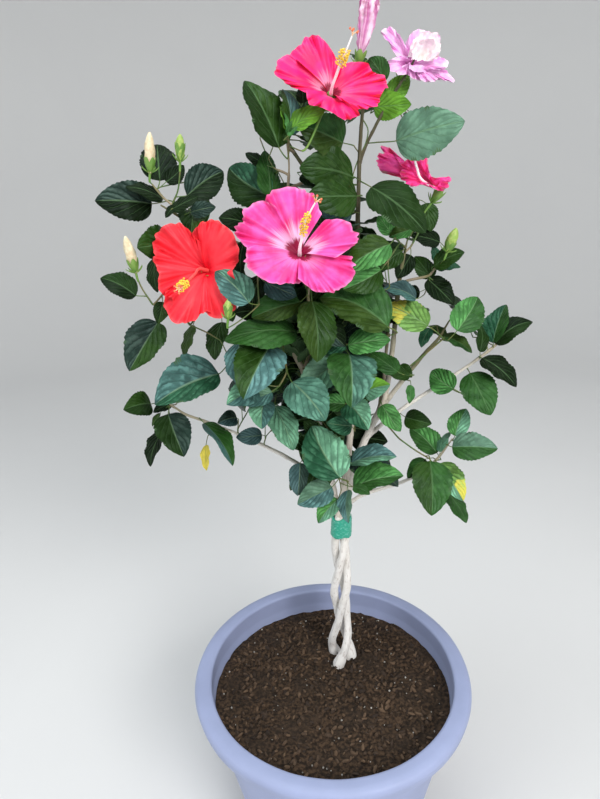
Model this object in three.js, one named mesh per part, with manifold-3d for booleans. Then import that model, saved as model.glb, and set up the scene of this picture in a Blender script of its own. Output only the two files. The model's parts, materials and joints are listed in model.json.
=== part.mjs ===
// Potted tropical hibiscus: a braided-stem standard in a wide resin planter.
// Millimetres, +Z up, +X to the right and +Y away from the front. The origin is the centre of the
// planter's flat underside.

import * as THREE from 'three';
import { mergeVertices } from 'three/addons/utils/BufferGeometryUtils.js';
import Module from 'manifold-3d';

const wasm = await Module();
wasm.setup();

// Running gap between neighbours, and the growth that a cutter gets so that it leaves that gap.
const GAP = 0.3;
const CUTTER_GROWTH = 0.5;

// Planter
const POT_HEIGHT = 410;
const RIM_RADIUS = 254;
const LIP_RADIUS = 222;
const RIM_DROP = 34;
const WALL = 5;
const FLOOR = 8;
const BASE_RADIUS = 153;
const SHOULDER_RADIUS = 227;
const POT_SIDES = 56;

// Potting mix
const SOIL_BELOW_RIM = 50;
const SOIL_TOP = POT_HEIGHT - SOIL_BELOW_RIM;

// Braided trunk: three young stems plaited into one, bound with a band under the fork
const TRUNK_AT = { x: 24, y: 78 };
const FORK_HEIGHT = 694;
const STRANDS = 3;
const STRAND_RADIUS = 8;
const STRAND_TIP_RADIUS = 7.4;
const FOOT_RADIUS = 12;
const FOOT_FLARE = 34;
const FOOT_SPREAD = 19;
const BRAID_SPREAD = 10.4;
const BRAID_BELLY = 3.2;
const BRAID_TURNS = 1.0;
const BRAID_PHASE = 10;
const BAND_BOTTOM = 648;
const BAND_HEIGHT = 40;
const BAND_THICKNESS = 1.2;

// Fineness of the round pieces
const STRAND_SIDES = 8;
const STRAND_STEPS = 22;
const LIMB_SIDES = 7;
const LIMB_STEPS = 9;

// Limbs. A limb starts on a strand of the braid or part of the way along a parent limb, ends at a
// place, and bows towards its heading on the way. It stops where it enters a mass of leaves,
// except the leader, which runs up behind the front masses and has them cut round it.
const LIMBS = [
  { name: 'limb_right', strand: 0, end: [98, 80, 902], rise: 70, foot: 7.2, tip: 5.6 },
  { name: 'limb_leader', strand: 2, end: [56, 64, 1352], rise: 260, foot: 7.2, tip: 3.4, whole: true },
  { name: 'limb_left', strand: 1, end: [-46, 30, 1000], rise: 120, foot: 7.0, tip: 4.4 },
  { name: 'limb_right_upper', parent: 'limb_right', along: 0.97, end: [120, 80, 1130], rise: 60, foot: 4.8, tip: 3.2 },
  { name: 'limb_right_outer', parent: 'limb_right', along: 0.97, end: [176, 70, 1010], rise: 14, foot: 4.2, tip: 2.8 },
  { name: 'limb_right_long', parent: 'limb_right', along: 0.66, end: [280, 96, 992], rise: -12, foot: 3.6, tip: 2.4 },
  { name: 'limb_right_low', parent: 'limb_right', along: 0.08, end: [186, 48, 812], rise: -16, foot: 3.6, tip: 2.4 },
  { name: 'limb_left_low', parent: 'limb_left', along: 0.14, end: [-222, 28, 912], rise: 34, foot: 3.8, tip: 2.2 },
  { name: 'limb_left_long', parent: 'limb_leader', along: 0.56, end: [-190, 0, 1216], rise: 12, foot: 4.0, tip: 2.6 },
  { name: 'limb_upper_left', parent: 'limb_leader', along: 0.72, end: [-52, 50, 1318], rise: -16, foot: 3.6, tip: 2.6 },
  { name: 'limb_top_right', parent: 'limb_leader', along: 0.90, end: [118, 80, 1400], rise: 14, foot: 3.2, tip: 2.4 },
  { name: 'limb_front_low', parent: 'limb_left', along: 0.24, end: [12, -6, 842], rise: 18, foot: 3.6, tip: 2.8 },
  { name: 'limb_back_low', parent: 'limb_left', along: 0.34, end: [6, 176, 880], rise: 16, foot: 4.0, tip: 2.8 },
  { name: 'limb_back_high', parent: 'limb_leader', along: 0.50, end: [4, 186, 1130], rise: 26, foot: 4.0, tip: 2.8 },
  { name: 'limb_back_right', parent: 'limb_right', along: 0.90, end: [118, 176, 1030], rise: 30, foot: 3.6, tip: 2.6 },
];

// Masses of foliage: centre, half sizes across, deep and tall, and the turn about the vertical.
const MASSES = [
  { name: 'foliage_centre', centre: [-22, -48, 1190], half: [98, 88, 76], turn: 0, detail: 3 },
  { name: 'foliage_centre_low', centre: [-30, -24, 1046], half: [116, 84, 84], turn: 8, detail: 3 },
  { name: 'foliage_lower', centre: [20, -8, 846], half: [90, 60, 124], turn: 0, detail: 2 },
  { name: 'foliage_left_inner', centre: [-104, 24, 912], half: [60, 62, 64], turn: 0, detail: 2 },
  { name: 'foliage_left_low', centre: [-230, 34, 936], half: [96, 76, 122], turn: -8, detail: 3 },
  { name: 'foliage_left_bloom', centre: [-214, -18, 1144], half: [102, 82, 84], turn: 0, detail: 2 },
  { name: 'foliage_left_tip', centre: [-222, 2, 1270], half: [92, 80, 76], turn: 0, detail: 2 },
  { name: 'foliage_upper_left', centre: [-60, 54, 1322], half: [92, 86, 90], turn: 0, detail: 3 },
  { name: 'foliage_top', centre: [16, 30, 1400], half: [80, 80, 58], turn: 0, detail: 2 },
  { name: 'foliage_top_bloom', centre: [60, 52, 1468], half: [27, 27, 60], turn: 0, detail: 1 },
  { name: 'foliage_top_right', centre: [140, 80, 1374], half: [64, 72, 94], turn: 0, detail: 2 },
  { name: 'foliage_right_upper', centre: [140, 72, 1190], half: [78, 90, 118], turn: 0, detail: 3 },
  { name: 'foliage_right_middle', centre: [178, 58, 1012], half: [84, 82, 88], turn: 0, detail: 2 },
  { name: 'foliage_right_far', centre: [278, 86, 978], half: [66, 68, 106], turn: 0, detail: 2 },
  { name: 'foliage_right_low', centre: [208, 48, 802], half: [86, 78, 118], turn: 0, detail: 2 },
  { name: 'foliage_back_high', centre: [-8, 202, 1164], half: [118, 92, 90], turn: -6, detail: 2 },
  { name: 'foliage_back_low', centre: [-14, 210, 990], half: [124, 96, 98], turn: 10, detail: 2 },
  { name: 'foliage_back_right', centre: [118, 182, 1066], half: [70, 72, 98], turn: 0, detail: 2 },
  { name: 'foliage_back_base', centre: [12, 174, 842], half: [86, 68, 74], turn: 0, detail: 2 },
];
const LUMPS = 7;
const LUMP_HEIGHT = 0.055;
const LUMP_PITCH = 2.6;

const degrees = (angle) => THREE.MathUtils.degToRad(angle);
const lerp = THREE.MathUtils.lerp;
const smooth = THREE.MathUtils.smoothstep;

// Colours read from the plant
const look = (color, roughness) => new THREE.MeshStandardMaterial({ color, roughness, metalness: 0 });
const potLook = () => look(0xa9a8c0, 0.5);
const soilLook = () => look(0x2e221a, 0.95);
const stemLook = () => look(0xb9b2aa, 0.8);
const bandLook = () => look(0x0d8a6c, 0.4);
const limbLook = () => look(0x8f867a, 0.8);
const leafLook = () => look(0x24501f, 0.6);

// A repeatable stream of numbers in 0..1 from a whole-number seed
function stream(seed) {
  let state = (seed + 1) * 0x9e3779b1;
  return () => {
    state = (state + 0x6d2b79f5) | 0;
    let mixed = Math.imul(state ^ (state >>> 15), 1 | state);
    mixed = (mixed + Math.imul(mixed ^ (mixed >>> 7), 61 | mixed)) ^ mixed;
    return ((mixed ^ (mixed >>> 14)) >>> 0) / 4294967296;
  };
}

// A geometry with shared vertices, as the boolean library and a closed body need it
function welded(geometry) {
  geometry.deleteAttribute('normal');
  geometry.deleteAttribute('uv');
  return mergeVertices(geometry, 1e-4);
}

function toSolid(geometry) {
  const shape = welded(geometry);
  return new wasm.Manifold(new wasm.Mesh({
    numProp: 3,
    vertProperties: new Float32Array(shape.attributes.position.array),
    triVerts: new Uint32Array(shape.index.array),
  }));
}

function toGeometry(solid) {
  const mesh = solid.getMesh();
  const geometry = new THREE.BufferGeometry();
  geometry.setAttribute('position', new THREE.BufferAttribute(mesh.vertProperties, mesh.numProp));
  geometry.setIndex(new THREE.BufferAttribute(mesh.triVerts, 1));
  geometry.computeVertexNormals();
  return geometry;
}

// The piece of a cut solid that holds most of its volume
const largestPiece = (solid) => solid.decompose().reduce((best, piece) => (
  piece.volume() > best.volume() ? piece : best));

// The piece of a cut solid whose nearest corner is closest to a place
function pieceNearest(solid, place) {
  const distance = (piece) => {
    const mesh = piece.getMesh();
    const corner = new THREE.Vector3();
    let nearest = Infinity;
    for (let i = 0; i < mesh.vertProperties.length; i += mesh.numProp) {
      corner.fromArray(mesh.vertProperties, i);
      nearest = Math.min(nearest, corner.distanceTo(place));
    }
    return nearest;
  };
  return solid.decompose().reduce((best, piece) => (distance(piece) < distance(best) ? piece : best));
}

// A tapering limb: a closed cylinder bent along a curve, its radius a function of the way along.
function taperedLimb(curve, radiusAt, sides, steps) {
  const frames = curve.computeFrenetFrames(steps, false);
  const geometry = new THREE.CylinderGeometry(1, 1, 1, sides, steps);
  const position = geometry.attributes.position;
  for (let i = 0; i < position.count; i += 1) {
    const along = position.getY(i) + 0.5;
    const step = Math.round(along * steps);
    const radius = radiusAt(along);
    const place = curve.getPointAt(along)
      .addScaledVector(frames.normals[step], position.getX(i) * radius)
      .addScaledVector(frames.binormals[step], -position.getZ(i) * radius);
    position.setXYZ(i, place.x, place.y, place.z);
  }
  return geometry;
}

// A surface of revolution about Z from a profile of [radius, height] pairs
function turned(profile, sides) {
  const outline = profile.map(([radius, height]) => new THREE.Vector2(radius, height));
  return new THREE.LatheGeometry(outline, sides).rotateX(Math.PI / 2);
}

// The radius of the planter's outer wall at a height
const wallRadius = (height) => lerp(BASE_RADIUS, SHOULDER_RADIUS, height / (POT_HEIGHT - RIM_DROP));

// The planter: a tapered wall with a floor, and a broad rim rolled out and down
function planter() {
  const underRim = POT_HEIGHT - RIM_DROP;
  const roll = (RIM_RADIUS - SHOULDER_RADIUS) / 2;
  return turned([
    [0, 0],
    [BASE_RADIUS, 0],
    [SHOULDER_RADIUS, underRim],
    [RIM_RADIUS - roll, underRim - 2],
    [RIM_RADIUS - 3, underRim + 6],
    [RIM_RADIUS, POT_HEIGHT - 12],
    [RIM_RADIUS - 4, POT_HEIGHT - 3],
    [RIM_RADIUS - roll, POT_HEIGHT],
    [LIP_RADIUS + 4, POT_HEIGHT],
    [LIP_RADIUS, POT_HEIGHT - 3],
    [wallRadius(underRim) - WALL, underRim],
    [wallRadius(FLOOR) - WALL, FLOOR],
    [0, FLOOR],
  ], POT_SIDES);
}

// The potting mix: fills the planter to a level top, a hair inside its wall
function pottingMix() {
  const bottom = FLOOR + GAP;
  return turned([
    [0, bottom],
    [wallRadius(bottom) - WALL - GAP, bottom],
    [wallRadius(SOIL_TOP) - WALL - GAP, SOIL_TOP],
    [0, SOIL_TOP],
  ], POT_SIDES);
}

// The centre line of one strand of the braid, spread at its foot and bellied between crossings
class StrandCurve extends THREE.Curve {
  constructor(index) {
    super();
    this.startAngle = BRAID_PHASE + (360 / STRANDS) * index - 360 * BRAID_TURNS;
  }

  getPoint(t, target = new THREE.Vector3()) {
    const bottom = SOIL_TOP + GAP;
    const height = lerp(bottom, FORK_HEIGHT, t);
    const angle = degrees(this.startAngle + 360 * BRAID_TURNS * t);
    const bound = 1 - smooth(t, 0.7, 0.84);
    const belly = BRAID_BELLY * bound * Math.sin(Math.PI * STRANDS * t) ** 2;
    const foot = (FOOT_SPREAD - BRAID_SPREAD) * (1 - smooth(t, 0, 0.28));
    const spread = BRAID_SPREAD + belly + foot;
    return target.set(
      TRUNK_AT.x + spread * Math.cos(angle),
      TRUNK_AT.y + spread * Math.sin(angle),
      height,
    );
  }
}

// A strand thickens towards its foot, where it flares into the soil
function strandRadius(t) {
  const height = (FORK_HEIGHT - SOIL_TOP) * t;
  const flare = (FOOT_RADIUS - STRAND_RADIUS) * (1 - smooth(height, 0, FOOT_FLARE));
  return lerp(STRAND_RADIUS, STRAND_TIP_RADIUS, t) + flare;
}

// A strand, with its foot cut level just above the soil
function strandGeometry(curve) {
  const geometry = taperedLimb(curve, strandRadius, STRAND_SIDES, STRAND_STEPS);
  const position = geometry.attributes.position;
  const ground = SOIL_TOP + GAP;
  const firstRing = 6;
  for (let i = 0; i < position.count; i += 1) {
    if (position.getZ(i) < ground + firstRing) {
      position.setZ(i, ground);
    }
  }
  return geometry;
}

// The band that binds the braid: a short sleeve just clear of the strands
function bindingBand() {
  const inner = BRAID_SPREAD + STRAND_RADIUS + GAP;
  const outer = inner + BAND_THICKNESS;
  const geometry = turned([
    [inner, 0],
    [outer, 0],
    [outer, BAND_HEIGHT],
    [inner, BAND_HEIGHT],
    [inner, 0],
  ], 16);
  return geometry.translate(TRUNK_AT.x, TRUNK_AT.y, BAND_BOTTOM);
}

// A limb's curve from its foot to its end, lifted at the middle by its rise
function limbCurve(foot, heading, end, rise) {
  const reach = foot.distanceTo(end);
  const first = foot.clone().addScaledVector(heading, reach * 0.3);
  const second = foot.clone().lerp(end, 0.68).add(new THREE.Vector3(0, 0, rise * 0.5));
  return new THREE.CubicBezierCurve3(foot, first, second, end);
}

// The same limb a hair thicker and longer, to cut its neighbours with
function limbPair(curve, spec) {
  const radiusAt = (growth) => (t) => lerp(spec.foot, spec.tip, t) + growth;
  return {
    solid: toSolid(taperedLimb(curve, radiusAt(0), LIMB_SIDES, LIMB_STEPS)),
    cutter: toSolid(taperedLimb(curve, radiusAt(CUTTER_GROWTH), LIMB_SIDES, LIMB_STEPS)),
  };
}

// A closed uneven mass: a ball whose radius swells and dips over its directions, then stretched
function massGeometry(spec, seed, growth) {
  const next = stream(seed);
  const waves = Array.from({ length: LUMPS }, () => ({
    axis: new THREE.Vector3(next() - 0.5, next() - 0.5, next() - 0.5).normalize()
      .multiplyScalar(LUMP_PITCH * (0.7 + next())),
    phase: next() * Math.PI * 2,
  }));
  const geometry = new THREE.IcosahedronGeometry(1, spec.detail);
  const position = geometry.attributes.position;
  const direction = new THREE.Vector3();
  for (let i = 0; i < position.count; i += 1) {
    direction.fromBufferAttribute(position, i);
    const lumps = waves.reduce((sum, { axis, phase }) => sum + Math.sin(direction.dot(axis) + phase), 0);
    const radius = 0.96 + LUMP_HEIGHT * lumps;
    position.setXYZ(
      i,
      direction.x * (spec.half[0] * radius + growth),
      direction.y * (spec.half[1] * radius + growth),
      direction.z * (spec.half[2] * radius + growth),
    );
  }
  return geometry.rotateZ(degrees(spec.turn)).translate(...spec.centre);
}

const part = new THREE.Group();

function add(name, geometry, material) {
  const mesh = new THREE.Mesh(geometry, material);
  mesh.name = name;
  part.add(mesh);
}

add('pot', planter(), potLook());
add('soil', pottingMix(), soilLook());

const strandCurves = Array.from({ length: STRANDS }, (_, index) => new StrandCurve(index));
strandCurves.forEach((curve, index) => {
  add(`trunk_stem_${index + 1}`, strandGeometry(curve), stemLook());
});
add('binding_band', bindingBand(), bandLook());

// Limb curves, each from the top of its strand or from its parent
const limbCurves = new Map();
for (const spec of LIMBS) {
  const source = spec.parent ? limbCurves.get(spec.parent) : strandCurves[spec.strand];
  const along = spec.parent ? spec.along : 1;
  const foot = source.getPointAt(along);
  const end = new THREE.Vector3(...spec.end);
  const heading = source.getTangentAt(along);
  if (spec.parent) {
    heading.lerp(end.clone().sub(foot).normalize(), 0.6).normalize();
  } else {
    foot.addScaledVector(heading, GAP);
  }
  limbCurves.set(spec.name, limbCurve(foot, heading, end, spec.rise));
}
const limbs = new Map(LIMBS.map((spec) => [spec.name, limbPair(limbCurves.get(spec.name), spec)]));

// Masses, each cut by the ones before it and by the limb that runs through the crown
const wholeLimbs = LIMBS.filter((spec) => spec.whole).map((spec) => limbs.get(spec.name).cutter);
const massCutters = [];
MASSES.forEach((spec, seed) => {
  const solid = [...massCutters, ...wholeLimbs].reduce(
    (rest, cutter) => rest.subtract(cutter),
    toSolid(massGeometry(spec, seed, 0)),
  );
  massCutters.push(toSolid(massGeometry(spec, seed, CUTTER_GROWTH)));
  add(spec.name, toGeometry(largestPiece(solid)), leafLook());
});

// Limbs, each cut back to the surface of its parent, of the limbs before it and of the masses
const limbCutters = [];
for (const spec of LIMBS) {
  const { solid, cutter } = limbs.get(spec.name);
  const cutters = spec.whole ? limbCutters : [...limbCutters, ...massCutters];
  const cut = cutters.reduce((rest, other) => rest.subtract(other), solid);
  const piece = pieceNearest(cut, limbCurves.get(spec.name).getPointAt(0));
  limbCutters.push(cutter);
  add(spec.name, toGeometry(piece), limbLook());
}

export default part;
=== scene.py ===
"""A potted tropical hibiscus: a braided standard with large blooms in a wide resin planter.

Lengths are in metres, +Z is up, +X to the right and +Y away from the front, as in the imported
frame. Each visible leaf and bloom is placed by where it shows in the photograph and how deep in
the crown it grows. The hidden leaves follow a seeded rule, and every leaf, bud and bloom is then
joined to the limbs by twigs that grow towards it.
"""

import json
import logging
import math
from collections import defaultdict
from dataclasses import dataclass, field
from enum import Enum

import bpy
import numpy as np
from mathutils import Matrix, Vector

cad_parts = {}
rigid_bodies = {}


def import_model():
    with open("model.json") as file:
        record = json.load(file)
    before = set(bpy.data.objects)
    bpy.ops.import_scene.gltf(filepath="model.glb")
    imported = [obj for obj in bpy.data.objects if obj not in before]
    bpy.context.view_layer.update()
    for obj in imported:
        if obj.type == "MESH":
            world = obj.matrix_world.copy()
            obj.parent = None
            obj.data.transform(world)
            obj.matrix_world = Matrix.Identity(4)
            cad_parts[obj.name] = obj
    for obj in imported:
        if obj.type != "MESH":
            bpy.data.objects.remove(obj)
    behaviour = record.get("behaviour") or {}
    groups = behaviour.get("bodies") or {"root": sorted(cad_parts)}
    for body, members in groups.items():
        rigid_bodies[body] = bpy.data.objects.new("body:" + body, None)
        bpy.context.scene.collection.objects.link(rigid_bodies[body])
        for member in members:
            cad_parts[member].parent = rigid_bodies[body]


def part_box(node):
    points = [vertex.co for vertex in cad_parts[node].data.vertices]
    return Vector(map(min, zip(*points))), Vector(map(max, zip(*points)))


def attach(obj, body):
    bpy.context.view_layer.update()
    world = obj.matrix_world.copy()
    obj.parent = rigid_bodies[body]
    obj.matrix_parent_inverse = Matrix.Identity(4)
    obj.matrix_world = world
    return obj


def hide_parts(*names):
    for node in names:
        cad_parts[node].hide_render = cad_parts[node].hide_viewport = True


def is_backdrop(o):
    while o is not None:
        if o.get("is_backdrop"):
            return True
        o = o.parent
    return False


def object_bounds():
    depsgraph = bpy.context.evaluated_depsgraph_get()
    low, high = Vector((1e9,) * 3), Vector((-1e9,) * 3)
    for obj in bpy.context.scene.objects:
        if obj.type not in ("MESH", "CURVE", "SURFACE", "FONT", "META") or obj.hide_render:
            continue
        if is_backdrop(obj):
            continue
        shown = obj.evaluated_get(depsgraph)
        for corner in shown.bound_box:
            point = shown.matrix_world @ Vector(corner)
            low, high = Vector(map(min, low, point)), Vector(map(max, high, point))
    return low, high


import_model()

log = logging.getLogger("hibiscus")
Array = np.ndarray
Pixel = tuple[float, float]
Colour = tuple[float, float, float]
Material = bpy.types.Material
MM = 0.001
BODY = "root"
UP = np.array([0.0, 0.0, 1.0])
GOLDEN_ANGLE = math.radians(137.5)
FIFTH = 2 * math.pi / 5


# Maths on whole arrays


def unit(vectors: Array) -> Array:
    """Vectors of length one along the last axis, v / |v|."""
    return vectors / np.maximum(np.linalg.norm(vectors, axis=-1, keepdims=True), 1e-12)


def smooth(value: Array, low: float, high: float) -> Array:
    """Smoothstep t²(3 − 2t), where t = (value − low) / (high − low) held in 0..1."""
    t = np.clip((value - low) / (high - low), 0.0, 1.0)
    return t * t * (3.0 - 2.0 * t)


def spline(points: Array, count: int) -> Array:
    """Catmull-Rom curve through points, sampled evenly in its parameter.

    Args:
        points: the places that it passes through, (k, n).
        count: how many samples it gives.

    Returns:
        The samples, (count, n).
    """
    points = np.asarray(points, float)
    padded = np.vstack([2 * points[0] - points[1], points, 2 * points[-1] - points[-2]])
    at = np.linspace(0, len(points) - 1, count)
    cell = np.minimum(at.astype(int), len(points) - 2)
    t = (at - cell)[:, None]
    p0, p1, p2, p3 = (padded[cell + k] for k in range(4))
    curve = (p2 - p0) * t + (2 * p0 - 5 * p1 + 4 * p2 - p3) * t**2 + (3 * p1 - p0 - 3 * p2 + p3) * t**3
    return p1 + curve / 2


def hermite(start: Array, leave: Array, end: Array, arrive: Array, count: int) -> Array:
    """Cubic from start to end that leaves and arrives along two tangents.

    Args:
        start: first place.
        leave: tangent at the start, its length the curve's speed there.
        end: last place.
        arrive: tangent at the end.
        count: how many samples it gives.

    Returns:
        The samples, (count, 3).
    """
    t = np.linspace(0, 1, count)[:, None]
    from_start = (1 + 2 * t) * (1 - t) ** 2 * start + t * (1 - t) ** 2 * leave
    from_end = t**2 * (3 - 2 * t) * end + t**2 * (t - 1) * arrive
    return from_start + from_end


def bezier(corners: Array, count: int) -> Array:
    """Cubic Bezier curve of four corners, sampled evenly along its length.

    Args:
        corners: the four corners, (4, 3).
        count: how many samples it gives.

    Returns:
        The samples, (count, 3).
    """
    t = np.linspace(0, 1, 400)[:, None]
    weights = np.hstack([(1 - t) ** 3, 3 * t * (1 - t) ** 2, 3 * t**2 * (1 - t), t**3])
    return evenly(weights @ corners, count)


def evenly(path: Array, count: int) -> Array:
    """A path sampled again at even steps of its length.

    Args:
        path: the path, (k, 3).
        count: how many samples it gives.

    Returns:
        The samples, (count, 3).
    """
    steps = np.linalg.norm(np.diff(path, axis=0), axis=1)
    along = np.concatenate([[0], np.cumsum(steps)])
    at = np.linspace(0, along[-1], count)
    return np.stack([np.interp(at, along, path[:, k]) for k in range(3)], 1)


def tangents(path: Array) -> Array:
    """Unit tangents of a path by central differences."""
    return unit(np.gradient(path, axis=0))


# Surfaces on grids


def grid(rows: int, columns: int, around: bool = False) -> tuple[Array, Array]:
    """Quads over a grid of places numbered row by row.

    Args:
        rows: places along the surface.
        columns: places across it.
        around: whether the last column joins the first.

    Returns:
        The quads, (m, 4), and the UV of each corner, (m, 4, 2), both 0..1 over the grid.
    """
    cells = columns if around else columns - 1
    row, column = np.meshgrid(np.arange(rows - 1), np.arange(cells), indexing="ij")
    corners = [(0, 0), (0, 1), (1, 1), (1, 0)]
    faces = [(row + down) * columns + (column + over) % columns for down, over in corners]
    uv = [np.stack([(column + over) / cells, (row + down) / (rows - 1)], -1) for down, over in corners]
    return np.stack(faces, -1).reshape(-1, 4), np.stack(uv, -2).reshape(-1, 4, 2)


def ring(sides: int) -> tuple[Array, Array]:
    """Angles around a circle, and their places on a unit circle in the XY plane, (sides, 3)."""
    angle = np.arange(sides) * 2 * math.pi / sides
    return angle, np.stack([np.cos(angle), np.sin(angle), np.zeros(sides)], -1)


def spoke(axis: Array, guide: list[float], turn: float | Array) -> Array:
    """Unit direction square to an axis, turned about it by an angle from axis × guide."""
    across = unit(np.cross(axis, guide))
    return across * np.cos(turn) + np.cross(axis, across) * np.sin(turn)


@dataclass
class Joined:
    """Many small surfaces gathered into one mesh piece; it keeps a slot's name, and its finishes are the
    materials given to it.
    """

    name: str
    slot: str
    count: int = 0
    parts: dict[str, list[Array]] = field(default_factory=lambda: defaultdict(list))

    def add(self, places: Array, mark: float = 0.0) -> int:
        """Adds places that faces may use.

        Args:
            places: the places, (n, 3).
            mark: a number that the finish may read, the same for all of them.

        Returns:
            The number of the first of them.
        """
        self.parts["places"].append(places)
        self.parts["marks"].append(np.full(len(places), float(mark)))
        self.count += len(places)
        return self.count - len(places)

    def skin(self, faces: Array, uv: Array, finish: int | Array = 0) -> None:
        """Adds faces over places that were added.

        Args:
            faces: the numbers of their corners, (m, sides).
            uv: the UV of each corner, (m, sides, 2).
            finish: a finish's number, one or one for each face.
        """
        self.parts["corners"].append(faces.ravel())
        self.parts["sizes"].append(np.full(*faces.shape))
        self.parts["uvs"].append(uv.reshape(-1, 2))
        self.parts["finishes"].append(np.broadcast_to(finish, len(faces)))

    def rings(self, places: Array, finish: int = 0, mark: float = 0.0, capped: bool = False) -> None:
        """A surface round an axis, each ring of places joined to the next.

        Args:
            places: the rings, (rings, sides, 3).
            finish: which of the piece's finishes it takes.
            mark: the mark of its places.
            capped: whether flat faces close its ends.
        """
        rows, sides = places.shape[:2]
        start = self.add(places.reshape(-1, 3), mark)
        faces, uv = grid(rows, sides, around=True)
        self.skin(faces + start, uv, finish)
        if capped:
            end = np.arange(sides)[None] + start
            blank = np.zeros((1, sides, 2))
            self.skin(end[:, ::-1], blank, finish)
            self.skin(end + (rows - 1) * sides, blank + [0, 1], finish)

    def tube(self, path: Array, radii: Array, sides: int, finish: int = 0, mark: float = 0.0) -> None:
        """A closed tube: C(i) + r(i, a) (N(i) cos a + B(i) sin a), with flat ends.

        Args:
            path: centre line C, (k, 3).
            radii: radius at each place of the path, (k,) or (k, sides).
            sides: places around it.
            finish: which of the piece's finishes it takes.
            mark: the mark of its places.
        """
        forward = tangents(path)
        across = np.eye(3)[np.argmin(np.abs(forward).mean(0))]
        first = unit(across - forward * (forward @ across)[:, None])
        second = np.cross(forward, first)
        angle = ring(sides)[0][:, None]
        circle = first[:, None] * np.cos(angle) + second[:, None] * np.sin(angle)
        radii = np.broadcast_to(np.reshape(radii, (len(path), -1)), (len(path), sides))
        self.rings(path[:, None] + circle * radii[..., None], finish, mark, capped=True)

    def sheet(self, top: Array, down: Array, finish: int | Array, under: int, mark: float = 0.0) -> None:
        """A thin closed sheet: an upper face over a grid, and a lower face that shares its margin.

        Args:
            top: the upper face's places, (rows, columns, 3).
            down: from each of them to the lower face, (3,).
            finish: finish of the upper face, one number or one for each quad.
            under: finish of the lower face.
            mark: the mark of its places.
        """
        rows, columns = top.shape[:2]
        faces, uv = grid(rows, columns)
        inner = np.zeros((rows, columns), bool)
        inner[1:-1, 1:-1] = True
        start = self.add(top.reshape(-1, 3), mark)
        self.skin(faces + start, uv, finish)
        number = np.arange(rows * columns) + start
        number[inner.ravel()] = self.add((top + down)[inner], mark) + np.arange(inner.sum())
        self.skin(number[faces][:, ::-1], uv[:, ::-1], under)

    def build(self, materials: list[Material], *replaced: str) -> None:
        """Makes the mesh object and hands it to the frame.

        Args:
            materials: the finishes, in the order of their numbers.
            replaced: the frame's nodes that the piece stands for.
        """
        kinds = ("places", "marks", "corners", "sizes", "uvs", "finishes")
        places, marks, corners, sizes, uvs, finishes = (np.concatenate(self.parts[kind]) for kind in kinds)
        mesh = bpy.data.meshes.new(self.name)
        mesh.vertices.add(len(places))
        mesh.vertices.foreach_set("co", places.astype(np.float32).ravel())
        mesh.loops.add(len(corners))
        mesh.loops.foreach_set("vertex_index", corners)
        mesh.polygons.add(len(sizes))
        mesh.polygons.foreach_set("loop_start", np.cumsum(sizes) - sizes)
        used, index = np.unique(finishes, return_inverse=True)
        mesh.polygons.foreach_set("material_index", index)
        mesh.update(calc_edges=True)
        mesh.shade_smooth()
        mesh.set_sharp_from_angle(angle=math.radians(70))
        mesh.uv_layers.new(name="surface").uv.foreach_set("vector", uvs.astype(np.float32).ravel())
        mesh.attributes.new("mark", "FLOAT", "POINT").data.foreach_set("value", marks.astype(np.float32))
        for number in used:
            mesh.materials.append(materials[number])
        piece = bpy.data.objects.new(self.name, mesh)
        bpy.context.scene.collection.objects.link(piece)
        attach(piece, BODY)
        if replaced:
            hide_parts(*replaced)
        log.info("%s: %d faces", self.name, len(sizes))


# Shader graphs


@dataclass(frozen=True)
class Socket:
    """One output of a shader graph, on which arithmetic adds Math nodes."""

    graph: "Graph"
    link: bpy.types.NodeSocket

    def maths(self, operation: str, *values: "Socket | float") -> "Socket":
        """A Math node of an operation on some values, the first of which may be this socket."""
        return self.graph.node("ShaderNodeMath", {"operation": operation}, dict(enumerate(values)))

    def __add__(self, other: "Socket | float") -> "Socket":
        """Sum."""
        return self.maths("ADD", self, other)

    __radd__ = __add__

    def __mul__(self, other: "Socket | float") -> "Socket":
        """Product."""
        return self.maths("MULTIPLY", self, other)

    __rmul__ = __mul__

    def __sub__(self, other: "Socket | float") -> "Socket":
        """Difference."""
        return self.maths("SUBTRACT", self, other)

    def __rsub__(self, other: float) -> "Socket":
        """A number less this."""
        return self.maths("SUBTRACT", other, self)

    def __truediv__(self, other: "Socket | float") -> "Socket":
        """Quotient."""
        return self.maths("DIVIDE", self, other)

    def __pow__(self, other: float) -> "Socket":
        """Power."""
        return self.maths("POWER", self, other)

    def __abs__(self) -> "Socket":
        """Size without sign."""
        return self.maths("ABSOLUTE", self)

    def fraction(self) -> "Socket":
        """What is left after the whole number."""
        return self.maths("FRACT", self)

    def between(self, low: float, high: float) -> "Socket":
        """Rises smoothly from 0 at low to 1 at high, and falls where high is the lower.

        Args:
            low: where the rise starts.
            high: where it ends.

        Returns:
            The value held in 0..1.
        """
        lower, upper = min(low, high), max(low, high)
        ends = {1: lower, 2: upper, 3: 0.0 if high > low else 1.0, 4: 1.0 if high > low else 0.0}
        settings = {"interpolation_type": "SMOOTHSTEP"}
        return self.graph.node("ShaderNodeMapRange", settings, {0: self, **ends})


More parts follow.
